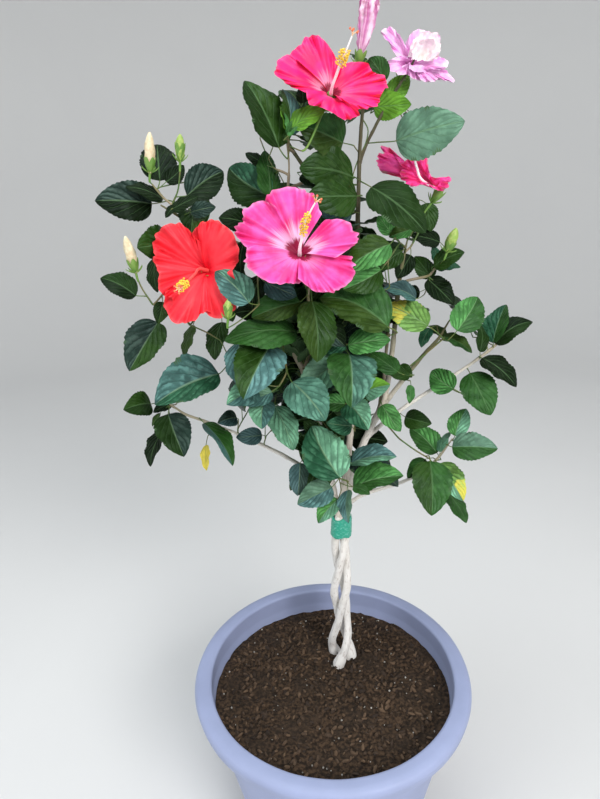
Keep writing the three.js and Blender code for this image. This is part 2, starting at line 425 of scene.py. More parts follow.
class Graph:
    """A material with one Principled shader, and the nodes that feed it."""

    def __init__(self, name: str) -> None:
        """Makes the material and its shader.

        Args:
            name: the material's name.
        """
        self.material = bpy.data.materials.new(name)
        self.material.use_nodes = True
        self.tree = self.material.node_tree
        self.tree.nodes.clear()
        self.shader = self.tree.nodes.new("ShaderNodeBsdfPrincipled")
        output = self.tree.nodes.new("ShaderNodeOutputMaterial")
        self.tree.links.new(self.shader.outputs[0], output.inputs[0])

    def node(
        self, kind: str, settings: dict | None = None, inputs: dict | None = None, output: int = 0
    ) -> Socket:
        """Adds a node.

        Args:
            kind: the node's type.
            settings: its properties, set first. A ramp's "stops" are pairs of place and colour.
            inputs: a value or a Socket for each input, by number or name.
            output: the number of the output that is returned.

        Returns:
            That output.
        """
        node = self.tree.nodes.new(kind)
        for name, value in (settings or {}).items():
            if name != "stops":
                setattr(node, name, value)
                continue
            ramp = node.color_ramp.elements
            while len(ramp) < len(value):
                ramp.new(0.5)
            for element, (place, colour) in zip(ramp, value):
                element.position = place
                element.color = (*colour, 1.0)
        for name, value in (inputs or {}).items():
            if isinstance(value, Socket):
                self.tree.links.new(value.link, node.inputs[name])
            else:
                node.inputs[name].default_value = value
        return Socket(self, node.outputs[output])

    def place(self) -> Socket:
        """Object coordinates, in metres."""
        return self.node("ShaderNodeTexCoord", output=3)

    def part(self, coordinates: int, number: int) -> Socket:
        """One of the three numbers of a Texture Coordinate output."""
        whole = self.node("ShaderNodeTexCoord", output=coordinates)
        return self.node("ShaderNodeSeparateXYZ", inputs={0: whole}, output=number)

    def across(self) -> Socket:
        """U of the piece's own UV map."""
        return self.part(2, 0)

    def along(self) -> Socket:
        """V of the piece's own UV map."""
        return self.part(2, 1)

    def height(self) -> Socket:
        """Z of the object coordinates."""
        return self.part(3, 2)

    def mark(self) -> Socket:
        """The piece's own mark."""
        return self.node("ShaderNodeAttribute", {"attribute_name": "mark"}, output=2)

    def noise(self, size: float, detail: float = 2.0, stretch: Colour = (1.0, 1.0, 1.0)) -> Socket:
        """Noise about 0.5 over the object coordinates.

        Args:
            size: size of its blots in metres.
            detail: how many finer layers lie on it.
            stretch: what the coordinates are multiplied by, so that under 1 draws the blots out.

        Returns:
            The noise.
        """
        scaled = self.node("ShaderNodeMapping", inputs={0: self.place(), 3: stretch})
        inputs = {"Vector": scaled, "Scale": 1.0 / size, "Detail": detail}
        return self.node("ShaderNodeTexNoise", inputs=inputs)

    def streaks(self, number: float, length: float = 1.0) -> Socket:
        """Noise drawn out along V.

        Args:
            number: how many streaks lie side by side across U.
            length: the usual length of one along V.

        Returns:
            The noise, about 0.5.
        """
        uv = self.node("ShaderNodeTexCoord", output=2)
        scaled = self.node("ShaderNodeMapping", inputs={0: uv, 3: (number, 1.0 / length, 1.0)})
        return self.node("ShaderNodeTexNoise", inputs={"Vector": scaled, "Scale": 1.0, "Detail": 2.0})

    def mix(self, factor: Socket | float, first: Socket | Colour, second: Socket | Colour) -> Socket:
        """Mixes two colours.

        Args:
            factor: how much of the second it holds, 0..1.
            first: the colour at 0.
            second: the colour at 1.

        Returns:
            The mixed colour.
        """
        inputs = {0: factor}
        for number, value in ((6, first), (7, second)):
            inputs[number] = value if isinstance(value, Socket) else (*value, 1.0)
        return self.node("ShaderNodeMix", {"data_type": "RGBA"}, inputs, output=2)

    def bump(self, height: Socket, distance: float, strength: float = 1.0) -> Socket:
        """A normal bent by a height of 0..1 over a distance in metres."""
        inputs = {"Height": height, "Distance": distance, "Strength": strength}
        return self.node("ShaderNodeBump", inputs=inputs)

    def finish(self, **sockets: "Socket | float | Colour") -> Material:
        """Sets or links the shader's sockets.

        Args:
            sockets: a value or a Socket for each of the shader's own, named with _ for a space.

        Returns:
            The material.
        """
        for name, value in sockets.items():
            target = self.shader.inputs[name.replace("_", " ")]
            if isinstance(value, Socket):
                self.tree.links.new(value.link, target)
            else:
                target.default_value = (*value, 1.0) if isinstance(value, tuple) else value
        return self.material


# Finishes


def shade(colour: Colour, factor: float) -> Colour:
    """A colour made darker or lighter."""
    return tuple(min(1.0, channel * factor) for channel in colour)


@dataclass(frozen=True)
class ResinFinish:
    """Satin moulded resin, pale lavender, with faint clouding and a fine stipple."""

    colour: Colour = (0.33, 0.38, 0.58)
    clouding: float = 0.08
    stipple: float = 0.0025

    def material(self) -> Material:
        """The resin of the planter.

        Returns:
            The material.
        """
        graph = Graph("planter_resin")
        clouds = graph.noise(self.clouding, 4.0)
        colour = graph.mix(clouds.between(0.3, 0.72), shade(self.colour, 0.94), shade(self.colour, 1.04))
        dust = graph.noise(0.03, 5.0) * graph.height().between(0.09, 0.0)
        colour = graph.mix(dust * 0.55, colour, (0.36, 0.31, 0.27))
        grain = graph.noise(self.stipple, 3.0)
        rough = 0.42 + graph.noise(0.02, 3.0) * 0.2
        normal = graph.bump(grain, 0.0004, 0.5)
        return graph.finish(Base_Color=colour, Roughness=rough, Normal=normal, Specular_IOR_Level=0.45)


@dataclass(frozen=True)
class SoilFinish:
    """Moist potting mix: crumbs of two browns, the darker laid in the hollows as painted shade."""

    crumb: float = 0.006

    def material(self) -> Material:
        """The bed of potting mix.

        Returns:
            The material.
        """
        graph = Graph("potting_mix")
        crumbs = graph.noise(self.crumb, 5.0)
        # Painted shade: the near-black brown goes where the crumbs' relief is lowest, in the hollows.
        colour = graph.mix(crumbs.between(0.35, 0.7), (0.017, 0.011, 0.007), (0.085, 0.052, 0.031))
        patches = graph.noise(0.05, 2.0).between(0.45, 0.65)
        colour = graph.mix(patches * 0.5, colour, (0.03, 0.021, 0.015))
        normal = graph.bump(crumbs, 0.004, 0.9)
        return graph.finish(Base_Color=colour, Roughness=0.93, Normal=normal, Specular_IOR_Level=0.25)


@dataclass(frozen=True)
class FlakeFinish:
    """Bark chips or mineral grains: a colour that varies from piece to piece by its mark."""

    name: str
    dark: Colour
    light: Colour
    grain: float = 0.002

    def material(self) -> Material:
        """The chips' finish.

        Returns:
            The material.
        """
        graph = Graph(self.name)
        fibres = graph.noise(self.grain, 4.0, (1.0, 0.35, 1.0))
        colour = graph.mix((graph.mark() + fibres * 0.6 - 0.3).between(0.0, 1.0), self.dark, self.light)
        return graph.finish(Base_Color=colour, Roughness=0.9, Normal=graph.bump(fibres, 0.0006, 0.8))


@dataclass(frozen=True)
class BarkFinish:
    """Young smooth bark: fine lengthwise cracks, corky dots and blots, greener towards the limb's end."""

    name: str
    pale: Colour
    dark: Colour
    young: Colour
    young_from: float = 0.5
    young_full: float = 1.0
    roughness: float = 0.74

    def material(self) -> Material:
        """The bark, its cracks drawn out along V.

        Returns:
            The material.
        """
        graph = Graph(self.name)
        cracks = graph.streaks(13.0, 0.035)
        grain = graph.noise(0.003, 3.0)
        blots = graph.noise(0.02, 3.0).between(0.45, 0.7)
        ageing = (graph.along() + (graph.noise(0.03) - 0.5) * 0.3).between(self.young_from, self.young_full)
        ground = graph.mix(ageing, self.pale, self.young)
        colour = graph.mix(cracks.between(0.46, 0.3) * 0.55, ground, self.dark)
        colour = graph.mix(blots * 0.28, colour, self.dark)
        spots = {"Vector": graph.place(), "Scale": 190.0, "Randomness": 1.0}
        dots = graph.node("ShaderNodeTexVoronoi", {"feature": "F1"}, spots).between(0.2, 0.1)
        colour = graph.mix(dots * (1.0 - ageing) * 0.35, colour, shade(self.pale, 1.2))
        normal = graph.bump(cracks * 0.7 + grain * 0.3 + dots * 0.3, 0.0005, 0.7)
        return graph.finish(Base_Color=colour, Roughness=self.roughness, Normal=normal)


@dataclass(frozen=True)
class StalkFinish:
    """The skin of green shoots, leaf stalks and flower stalks."""

    name: str
    colour: Colour
    blush: Colour

    def material(self) -> Material:
        """The stalk, blushed on its sunny lengths.

        Returns:
            The material.
        """
        graph = Graph(self.name)
        patches = graph.noise(0.015, 3.0).between(0.42, 0.62)
        colour = graph.mix(patches, self.colour, self.blush)
        normal = graph.bump(graph.noise(0.001, 2.0, (1.0, 1.0, 0.3)), 0.0003, 0.5)
        return graph.finish(Base_Color=colour, Roughness=0.5, Normal=normal)


@dataclass(frozen=True)
class TapeFinish:
    """Stretchy garden tape: glossy teal film, paler on the raised tops of its creases."""

    colour: Colour = (0.015, 0.36, 0.24)
    ridge_colour: Colour = (0.22, 0.62, 0.5)

    def material(self) -> Material:
        """The tape's film.

        Returns:
            The material.
        """
        graph = Graph("binding_tape")
        creases = graph.noise(0.005, 4.0, (1.0, 1.0, 2.5))
        colour = graph.mix(creases.between(0.5, 0.78), self.colour, self.ridge_colour)
        normal = graph.bump(creases, 0.0012, 0.8)
        coat = {"Coat_Weight": 0.5, "Coat_Roughness": 0.2}
        return graph.finish(Base_Color=colour, Roughness=0.2 + creases * 0.25, Normal=normal, **coat)


class Tint(Enum):
    """Leaf colours for a blade's upper face, some with painted light and shade in them."""

    DEEP = (0.019, 0.055, 0.006)
    MID = (0.026, 0.092, 0.017)
    OLIVE = (0.030, 0.066, 0.008)
    # The next four are greens with a painted reflection of the sky on them.
    BLUE = (0.019, 0.041, 0.031)
    TEAL = (0.026, 0.110, 0.055)
    SLATE = (0.060, 0.150, 0.135)
    STEEL = (0.045, 0.096, 0.098)
    SEA = (0.064, 0.168, 0.118)
    MIST = (0.086, 0.200, 0.190)
    MINT = (0.155, 0.370, 0.230)
    BRIGHT = (0.066, 0.225, 0.055)
    # FRESH is the yellow-green of young leaves, also used as painted light shining through a blade from
    # behind.
    FRESH = (0.130, 0.330, 0.030)
    PALE = (0.100, 0.206, 0.135)
    # DUSK and SHADE are dark greens that paint the shade on leaves deep in the crown.
    DUSK = (0.013, 0.034, 0.007)
    SHADE = (0.006, 0.014, 0.004)
    TURNING = (0.130, 0.270, 0.060)
    YELLOW = (0.720, 0.600, 0.080)


TINTS = list(Tint)
T = Tint
QUILTED = (T.TEAL, T.BLUE, T.SLATE, T.STEEL, T.SEA, T.MIST, T.MINT, T.BRIGHT, T.TURNING)
UNDERSIDE = len(TINTS)


@dataclass(frozen=True)
class LeafFinish:
    """A leaf's glossy upper face: pale midrib and side veins, quilted between, with painted highlights and
    shade.
    """

    tint: Tint
    side_veins: float = 5.2
    vein_slant: float = 0.6

    def material(self) -> Material:
        """The blade's finish, its veins worked out from U across it and V along it.

        Returns:
            The material.
        """
        own = self.tint.value
        quilted = self.tint in QUILTED
        dull = self.tint in (T.SHADE, T.DUSK)
        rib_green = (0.30, 0.44, 0.25) if quilted else (0.16, 0.30, 0.13)
        light = tuple(0.62 * c + 0.38 * p for c, p in zip(own, rib_green))
        low, high = (0.52, 1.14) if quilted else (0.56, 1.22)
        graph = Graph(f"leaf_{self.tint.name.lower()}")
        off_rib = abs(graph.across() - 0.5) * 2.0
        along = graph.along()
        wander = graph.noise(0.012, 2.0) - 0.5
        rib = off_rib.between(0.07, 0.02)
        rank = ((along - off_rib**0.8 * self.vein_slant + wander * 0.06) * self.side_veins).fraction()
        from_vein = abs(rank - 0.5) * 2.0
        vein = from_vein.between(0.84, 0.98) * off_rib.between(1.0, 0.5)
        # Blots of lighter and darker green over the blade are painted patches of reflected light; the mark
        # sets each leaf's own tone.
        blots = graph.noise(0.02, 3.0).between(0.32, 0.68)
        colour = graph.mix(graph.mark() * 0.4 + blots * 0.6, shade(own, low), shade(own, high))
        if self.tint is T.TURNING:
            patches = (along + wander * 0.9).between(0.52, 0.64)
            colour = graph.mix(patches, colour, (0.72, 0.66, 0.10))
        # Painted highlight: a lighter colour on the swell after each side vein, in patches.
        swell = rank.between(0.0, 0.22) * rank.between(1.0, 0.4)
        painted_glare = 0.2 if dull else 0.6 if quilted else 0.36
        painted_sheen = swell * graph.noise(0.016, 3.0).between(0.42, 0.60) * painted_glare
        colour = graph.mix(painted_sheen, colour, tuple(c * 2.0 + 0.03 for c in own))
        # On the quilted tints the veins are darkened as painted shade in their creases; on the others they
        # take the paler vein colour.
        strength, line = (0.65, shade(own, 0.4)) if quilted else (0.42, light)
        colour = graph.mix(vein * strength, colour, line)
        colour = graph.mix(rib * 0.85, colour, light)
        quilt = (1.0 - from_vein * from_vein) * (graph.noise(0.009, 2.0) + 0.4) - rib * 0.6
        grain = graph.noise(0.004, 3.0) * 0.8
        normal = graph.bump(quilt * 0.8 + grain, 0.0014 if quilted else 0.0009, 0.8)
        rough = 0.28 + graph.noise(0.012, 2.0) * 0.24
        gloss = {"Specular_IOR_Level": 0.07 if dull else 0.17, "Specular_Tint": (0.7, 0.9, 0.85)}
        return graph.finish(Base_Color=colour, Roughness=rough, Normal=normal, **gloss)


@dataclass(frozen=True)
class UndersideFinish:
    """The matt, paler lower face of a leaf with raised veins."""

    colour: Colour = (0.060, 0.120, 0.050)
    side_veins: float = 7.0
    vein_slant: float = 0.42

    def material(self) -> Material:
        """The lower face's finish.

        Returns:
            The material.
        """
        graph = Graph("leaf_underside")
        off_rib = abs(graph.across() - 0.5) * 2.0
        rank = ((graph.along() - off_rib * self.vein_slant) * self.side_veins).fraction()
        vein = (abs(rank - 0.5) * 2.0).between(0.8, 0.97) * off_rib.between(1.0, 0.5)
        ribs = vein * 0.6 + off_rib.between(0.09, 0.03)
        colour = graph.mix(graph.mark(), shade(self.colour, 0.8), shade(self.colour, 1.15))
        colour = graph.mix(ribs * 0.5, colour, (0.15, 0.24, 0.10))
        normal = graph.bump(ribs, 0.0008, 0.8)
        return graph.finish(Base_Color=colour, Roughness=0.62, Normal=normal, Specular_IOR_Level=0.2)


@dataclass(frozen=True)
class PetalColours:
    """The colours of one bloom from its throat to its margin."""

    name: str
    eye: Colour
    halo: Colour
    body: Colour
    flush: Colour
    margin: Colour
    reverse: Colour
    eye_reach: float = 0.12
    halo_reach: float = 0.34
    halo_strength: float = 1.0


@dataclass(frozen=True)
class PetalFinish:
    """Silky petal skin: an eye, a streaked halo that the mark turns up or down, and a paler margin."""

    colours: PetalColours
    reverse: bool = False

    def material(self) -> Material:
        """The petal's upper or reverse face, worked out from V along it and streaks across it.

        Returns:
            The material.
        """
        look = self.colours
        graph = Graph(f"petal_{look.name}{'_reverse' if self.reverse else ''}")
        along = graph.along()
        fine = graph.streaks(34.0, 1.4)
        broad = graph.streaks(7.0, 1.2)
        edge = (along + (broad - 0.5) * 0.16).between(0.93, 1.02)
        furrows = fine * 0.35 + graph.streaks(14.0, 1.6) * 0.4 + graph.noise(0.006, 3.0) * 0.6
        normal = graph.bump(furrows, 0.0009, 0.4)
        if self.reverse:
            colour = graph.mix(fine.between(0.35, 0.7), look.reverse, shade(look.reverse, 0.82))
            colour = graph.mix(edge * 0.6, colour, look.body)
            return graph.finish(Base_Color=colour, Roughness=0.5, Normal=normal, Specular_IOR_Level=0.3)
        clouds = broad * 0.4 + graph.noise(0.022, 3.0) * 0.6
        body = graph.mix(clouds.between(0.40, 0.62), look.body, look.flush)
        body = graph.mix(fine.between(0.5, 0.75) * 0.35, body, shade(look.body, 0.75))
        body = graph.mix(edge * 0.6, body, look.margin)
        reach = along + (fine - 0.5) * 0.42
        halo = reach.between(look.halo_reach, look.eye_reach) * graph.mark() * look.halo_strength
        body = graph.mix(halo, body, look.halo)
        eye = (along + (fine - 0.5) * 0.2).between(look.eye_reach, look.eye_reach * 0.7)
        colour = graph.mix(eye, body, look.eye)
        return graph.finish(Base_Color=colour, Roughness=0.47, Normal=normal, Specular_IOR_Level=0.3)


@dataclass(frozen=True)
class SpentFinish:
    """Wilting petals rolled up: folds with painted pale highlights, dark lines along them, and a tip that has
    aged.
    """

    dark: Colour = (0.55, 0.17, 0.40)
    light: Colour = (0.90, 0.66, 0.82)
    line: Colour = (0.45, 0.06, 0.26)
    aged: Colour = (0.32, 0.02, 0.12)

    def material(self) -> Material:
        """The spindle's finish, drawn out along V.

        Returns:
            The material.
        """
        graph = Graph("spent_petals")
        # The pale colour along the folds is a painted highlight on a darker ground.
        colour = graph.mix(graph.streaks(9.0, 1.3).between(0.40, 0.60), self.dark, self.light)
        lines = graph.streaks(26.0, 1.0).between(0.55, 0.66)
        colour = graph.mix(lines * 0.75, colour, self.line)
        ageing = graph.along().between(0.35, 0.8) * graph.noise(0.014, 3.0).between(0.44, 0.56)
        colour = graph.mix(ageing * 0.8, colour, self.aged)
        normal = graph.bump(graph.noise(0.002, 3.0, (1.0, 1.0, 0.3)), 0.0008, 0.7)
        return graph.finish(Base_Color=colour, Roughness=0.55, Normal=normal)


@dataclass(frozen=True)
class PlainFinish:
    """A small flower part: one colour clouded to a second, with a roughness and a fine grain."""

    name: str
    colour: Colour
    second: Colour
    roughness: float = 0.55
    cloud: float = 0.004

    def material(self) -> Material:
        """The part's finish.

        Returns:
            The material.
        """
        graph = Graph(self.name)
        clouds = graph.noise(self.cloud, 3.0)
        colour = graph.mix(clouds.between(0.35, 0.65), self.colour, self.second)
        normal = graph.bump(graph.noise(self.cloud / 4, 2.0), 0.0003, 0.6)
        return graph.finish(Base_Color=colour, Roughness=self.roughness, Normal=normal)


# The photograph's view


@dataclass(frozen=True)
class PhotoView:
    """The pinhole that the photograph was taken through, and its way from pixels to places."""

    eye: tuple[float, float, float] = (-0.0441, -0.9028, 1.298)
    pitch_down: float = math.radians(21.29)
    roll: float = math.radians(-1.667)
    focal: float = 625.24
    width: int = 600
    height: int = 799

    def axes(self) -> tuple[Array, Array, Array]:
        """The view's right, up and forward directions.

        Returns:
            Three unit directions.
        """
        forward = np.array([0.0, math.cos(self.pitch_down), -math.sin(self.pitch_down)])
        right = np.array([1.0, 0.0, 0.0])
        up = np.cross(right, forward)
        cos, sin = math.cos(self.roll), math.sin(self.roll)
        return cos * right + sin * up, cos * up - sin * right, forward

    def rays(self, pixels: Array) -> Array:
        """Directions from the eye through pixels.

        Args:
            pixels: x and y of each, (..., 2).

        Returns:
            The directions, (..., 3), each one long along the view.
        """
        right, up, forward = self.axes()
        pixels = np.asarray(pixels, float)
        over = (pixels[..., :1] - self.width / 2) / self.focal
        down = (pixels[..., 1:] - self.height / 2) / self.focal
        return forward + over * right - down * up

    def at_depth(self, pixels: Array, depth: float | Array) -> Array:
        """The places that show at pixels and lie at a depth.

        Args:
            pixels: x and y of each, (..., 2).
            depth: the y that they lie at, one or one for each.

        Returns:
            The places, (..., 3).
        """
        rays = self.rays(pixels)
        eye = np.array(self.eye)
        return eye + rays * ((depth - eye[1]) / rays[..., 1])[..., None]

    def towards(self, place: Array) -> Array:
        """Unit direction from a place to the eye."""
        return unit(np.array(self.eye) - place)

    def pixels(self, places: Array) -> Array:
        """Where places show.

        Args:
            places: the places, (..., 3).

        Returns:
            x and y of each pixel, (..., 2).
        """
        right, up, forward = self.axes()
        arm = np.asarray(places, float) - np.array(self.eye)
        deep = arm @ forward
        over = self.width / 2 + self.focal * (arm @ right) / deep
        down = self.height / 2 - self.focal * (arm @ up) / deep
        return np.stack([over, down], -1)

    def scale(self, place: Array) -> float:
        """Metres for each pixel at a place."""
        return float((place - np.array(self.eye)) @ self.axes()[2]) / self.focal

    def make_camera(self) -> None:
        """Makes the camera of this view and gives it to the scene."""
        camera = bpy.data.cameras.new("camera")
        camera.sensor_width = 36.0
        camera.lens = self.focal * camera.sensor_width / self.height
        camera.clip_start = 0.01
        camera.clip_end = 60.0
        holder = bpy.data.objects.new("camera", camera)
        right, up, forward = self.axes()
        turn = np.stack([right, up, -forward], 1)
        holder.matrix_world = Matrix.Translation(self.eye) @ Matrix(turn.tolist()).to_4x4()
        bpy.context.scene.collection.objects.link(holder)
        bpy.context.scene.camera = holder


VIEW = PhotoView()


# Planter, soil, trunk and tape


def lumps(places: Array, size: float, seed: int, waves: int = 28) -> Array:
    """Seeded smooth noise about 0, the sum of cosine waves cos(k·p + φ) with |k| about 2π / size.

    Args:
        places: where it is wanted, (..., 3).
        size: the usual length of a wave.
        seed: its seed.
        waves: how many waves it has.

    Returns:
        The noise, (...).
    """
    draw = np.random.default_rng(seed)
    pitch = draw.uniform(0.6, 1.7, (waves, 1)) * 2 * math.pi / size
    heading = unit(draw.normal(size=(waves, 3))) * pitch
    phase = draw.uniform(0, 2 * math.pi, waves)
    return np.cos(places @ heading.T + phase).sum(-1) / math.sqrt(waves)


def rounded(corners: Array, radius: float, steps: int = 5) -> Array:
    """An outline whose corners, but for its ends, are replaced by short parabolic arcs.

    Args:
        corners: the outline, (k, 2).
        radius: how far from its corner an arc starts.
        steps: points on each arc.

    Returns:
        The new outline.
    """
    t = np.linspace(0, 1, steps)[:, None]
    outline = [corners[:1]]
    for before, corner, after in zip(corners, corners[1:], corners[2:]):
        start = corner + unit(before - corner) * min(radius, 0.45 * math.dist(before, corner))
        end = corner + unit(after - corner) * min(radius, 0.45 * math.dist(after, corner))
        outline.append((1 - t) ** 2 * start + 2 * t * (1 - t) * corner + t**2 * end)
    return np.vstack([*outline, corners[-1:]])


def divided(outline: Array, step: float) -> Array:
    """An outline with more points on its long stretches.

    Args:
        outline: its points, (k, 2).
        step: the longest step that may stay.

    Returns:
        The new outline.
    """
    stretches = [
        np.linspace(start, end, 1 + math.ceil(math.dist(start, end) / step))[:-1]
        for start, end in zip(outline, outline[1:])
    ]
    return np.vstack([*stretches, outline[-1:]])


@dataclass(frozen=True)
class Planter:
    """The wide tapered planter with its broad rolled rim."""

    height: float = 0.410
    base_radius: float = 0.153
    shoulder: tuple[float, float] = (0.227, 0.376)
    lip_radius: float = 0.222
    rim: tuple[tuple[float, float], ...] = (
        (0.2405, 0.374), (0.251, 0.382), (0.254, 0.398), (0.250, 0.407), (0.2405, 0.410),
    )
    wall: float = 0.005
    floor: float = 0.008
    sides: int = 128
    waviness: float = 0.0006

    def wall_radius(self, height: float) -> float:
        """The outer wall's radius at a height."""
        return self.base_radius + (self.shoulder[0] - self.base_radius) * height / self.shoulder[1]

    def build(self) -> None:
        """Turns the planter from its outline, with the faint waviness of a moulding."""
        inside = self.wall_radius(self.floor) - self.wall
        lip = [(self.lip_radius + 0.004, self.height), (self.lip_radius, self.height - 0.003)]
        inner = [(self.lip_radius, self.shoulder[1]), (inside, self.floor), (1e-5, self.floor)]
        corners = [(1e-5, 0), (self.base_radius, 0), self.shoulder, *self.rim, *lip, *inner]
        profile = divided(rounded(np.array(corners), 0.004), 0.02)
        circle = ring(self.sides)[1]
        heights = profile[:, None, 1:] * UP
        swell = abs(lumps(circle * self.lip_radius + heights, 0.2, seed=5))
        radii = profile[:, :1] - swell * self.waviness * (profile[:, :1] / self.lip_radius)
        piece = Joined("planter", "pot_resin")
        piece.rings(circle * radii[..., None] + heights, capped=True)
        piece.build([ResinFinish().material()], "pot")


@dataclass(frozen=True)
class Soil:
    """The bed of potting mix, with bark chips and white mineral grains lying on it."""

    top: float = 0.359
    bottom: float = 0.010
    clearance: float = 0.0008
    unevenness: float = 0.0022
    chips: int = 900
    grains: int = 110
    seed: int = 11

    def height(self, places: Array) -> Array:
        """Height of the bed's surface at places."""
        flat = places * [1, 1, 0]
        return self.top + self.unevenness * (lumps(flat, 0.06, 2) + 0.5 * lumps(flat, 0.015, 3))

    def build(self, planter: Planter) -> None:
        """Builds the bed and what lies on it.

        Args:
            planter: the planter that it fills.
        """
        top, bottom = (
            planter.wall_radius(height) - planter.wall - self.clearance for height in (self.top, self.bottom)
        )
        radii = np.concatenate([np.linspace(1e-5, top, 64), [bottom, 1e-5]])[::-1]
        places = ring(160)[1] * radii[:, None, None]
        heights = self.height(places)
        heights[:2] = self.bottom
        bed = Joined("soil_bed", "potting_mix")
        bed.rings(places + heights[..., None] * UP)
        bed.build([SoilFinish().material()], "soil")
        self.scatter("bark_chips", self.chips, 0.0105, (1.0, 0.5, 0.28), top, CHIPS)
        self.scatter("mineral_grains", self.grains, 0.0026, (1.0, 0.9, 0.8), top, GRAINS)

    def scatter(
        self, name: str, count: int, size: float, shape: Colour, reach: float, look: FlakeFinish
    ) -> None:
        """Lays seeded chips on the bed.

        Args:
            name: the piece's name.
            count: how many chips it has.
            size: a chip's usual length.
            shape: its length, width and thickness as parts of the size.
            reach: how far from the middle they lie.
            look: their finish.
        """
        draw = np.random.default_rng([self.seed, count])
        piece = Joined(name, "potting_mix")
        ends = np.array([-0.5, 0.05, 0.5])[:, None, None] * [0, 0, 1]
        plain = ring(6)[1] * 0.5 * np.array([0.72, 1.0, 0.66])[:, None, None] + ends
        for _ in range(count):
            long = size * draw.uniform(0.6, 1.5)
            away = (reach - long) * math.sqrt(draw.uniform(0.0, 1.0))
            turn = draw.uniform(0, 2 * math.pi)
            middle = np.array([away * math.cos(turn), away * math.sin(turn), 0.0])
            middle[2] = self.height(middle) + long * shape[2] * 0.3
            tilt = draw.normal(size=(3, 3)) * [1, 1, 0.35] + [[0, 0, 0], [0, 0, 0], [0, 0, 1.5]]
            body = plain * draw.uniform(0.75, 1.15, (3, 6, 1)) * long * np.array(shape)
            piece.rings(middle + body @ np.linalg.qr(tilt)[0].T, 0, draw.uniform(), capped=True)
        piece.build([look.material()])


CHIPS = FlakeFinish("bark_chips", (0.028, 0.017, 0.011), (0.13, 0.080, 0.046))
GRAINS = FlakeFinish("mineral_grains", (0.26, 0.24, 0.21), (0.52, 0.50, 0.46), 0.001)


@dataclass(frozen=True)
class BraidedTrunk:
    """Three pale stems plaited about each other from the soil to the fork."""

    axis: tuple[float, float] = (0.024, 0.078)
    foot: float = 0.3603
    fork: float = 0.694
    radius: float = 0.008
    tip_radius: float = 0.0074
    foot_growth: float = 0.004
    flare: float = 0.034
    foot_spread: float = 0.019
    spread: float = 0.0104
    belly: float = 0.0032
    phase: float = math.radians(10)
    sunk: float = 0.03
    slack: float = 0.00045
    sides: int = 28

    def path(self, strand: int, count: int = 320) -> Array:
        """Centre line of a strand: a helix of one turn whose spread swells between its crossings.

        Args:
            strand: its number.
            count: how many places it has.

        Returns:
            The places, (count, 3).
        """
        t = np.linspace(0, 1, count)
        angle = self.phase + 2 * math.pi * (strand / 3 + t - 1)
        swell = self.belly * (1 - smooth(t, 0.7, 0.84)) * np.sin(3 * math.pi * t) ** 2
        spread = self.spread + swell + (self.foot_spread - self.spread) * (1 - smooth(t, 0, 0.28))
        height = self.foot + (self.fork - self.foot) * t
        across, away = spread * np.cos(angle), spread * np.sin(angle)
        return np.stack([self.axis[0] + across, self.axis[1] + away, height], -1)

    def radii(self, path: Array, strand: int) -> Array:
        """Radii of a strand: its taper and foot, with leaf scars, low lumps and low lengthwise ribs.

        Args:
            path: its centre line.
            strand: its number.

        Returns:
            The radii, (k, sides).
        """
        above = path[:, 2] - self.foot
        plain = self.radius + (self.tip_radius - self.radius) * above / (self.fork - self.foot)
        plain = plain + self.foot_growth * (1 - smooth(above, 0, self.flare))
        angle, circle = ring(self.sides)
        around = circle * self.radius * 2 + path[:, None, 2:] * UP + strand
        ribs = lumps(around * [1, 1, 0.12], 0.011, 20 + strand) * 0.00022
        lumpy = lumps(around, 0.035, 30 + strand) * 0.00035
        draw = np.random.default_rng([7, strand])
        scars = np.zeros((len(path), self.sides))
        for height in np.arange(0.018, self.fork - self.foot - 0.05, 0.026):
            side = draw.uniform(0, 2 * math.pi)
            off = (above - height - draw.uniform(-0.006, 0.006))[:, None] / 0.0032
            swing = (1 - np.cos(angle - side)) / 0.35
            scars += draw.uniform(0.3, 0.8) * MM * np.exp(-(off**2) - swing)
        return plain[:, None] + ribs + lumpy + scars - self.slack

    def build(self) -> None:
        """Builds the three strands, each in place of its stem."""
        bark = BarkFinish("stem_bark", (0.90, 0.88, 0.85), (0.46, 0.41, 0.36), (0.84, 0.81, 0.76)).material()
        for strand in range(3):
            path = self.path(strand)
            radii = self.radii(path, strand)
            rooted = path[:1] - UP * np.linspace(self.sunk, 0.003, 4)[:, None]
            piece = Joined(f"stem_{strand + 1}", "stem_bark")
            piece.tube(np.vstack([rooted, path]), np.vstack([radii[[0, 0, 0, 0]], radii]), self.sides)
            piece.build([bark], f"trunk_stem_{strand + 1}")


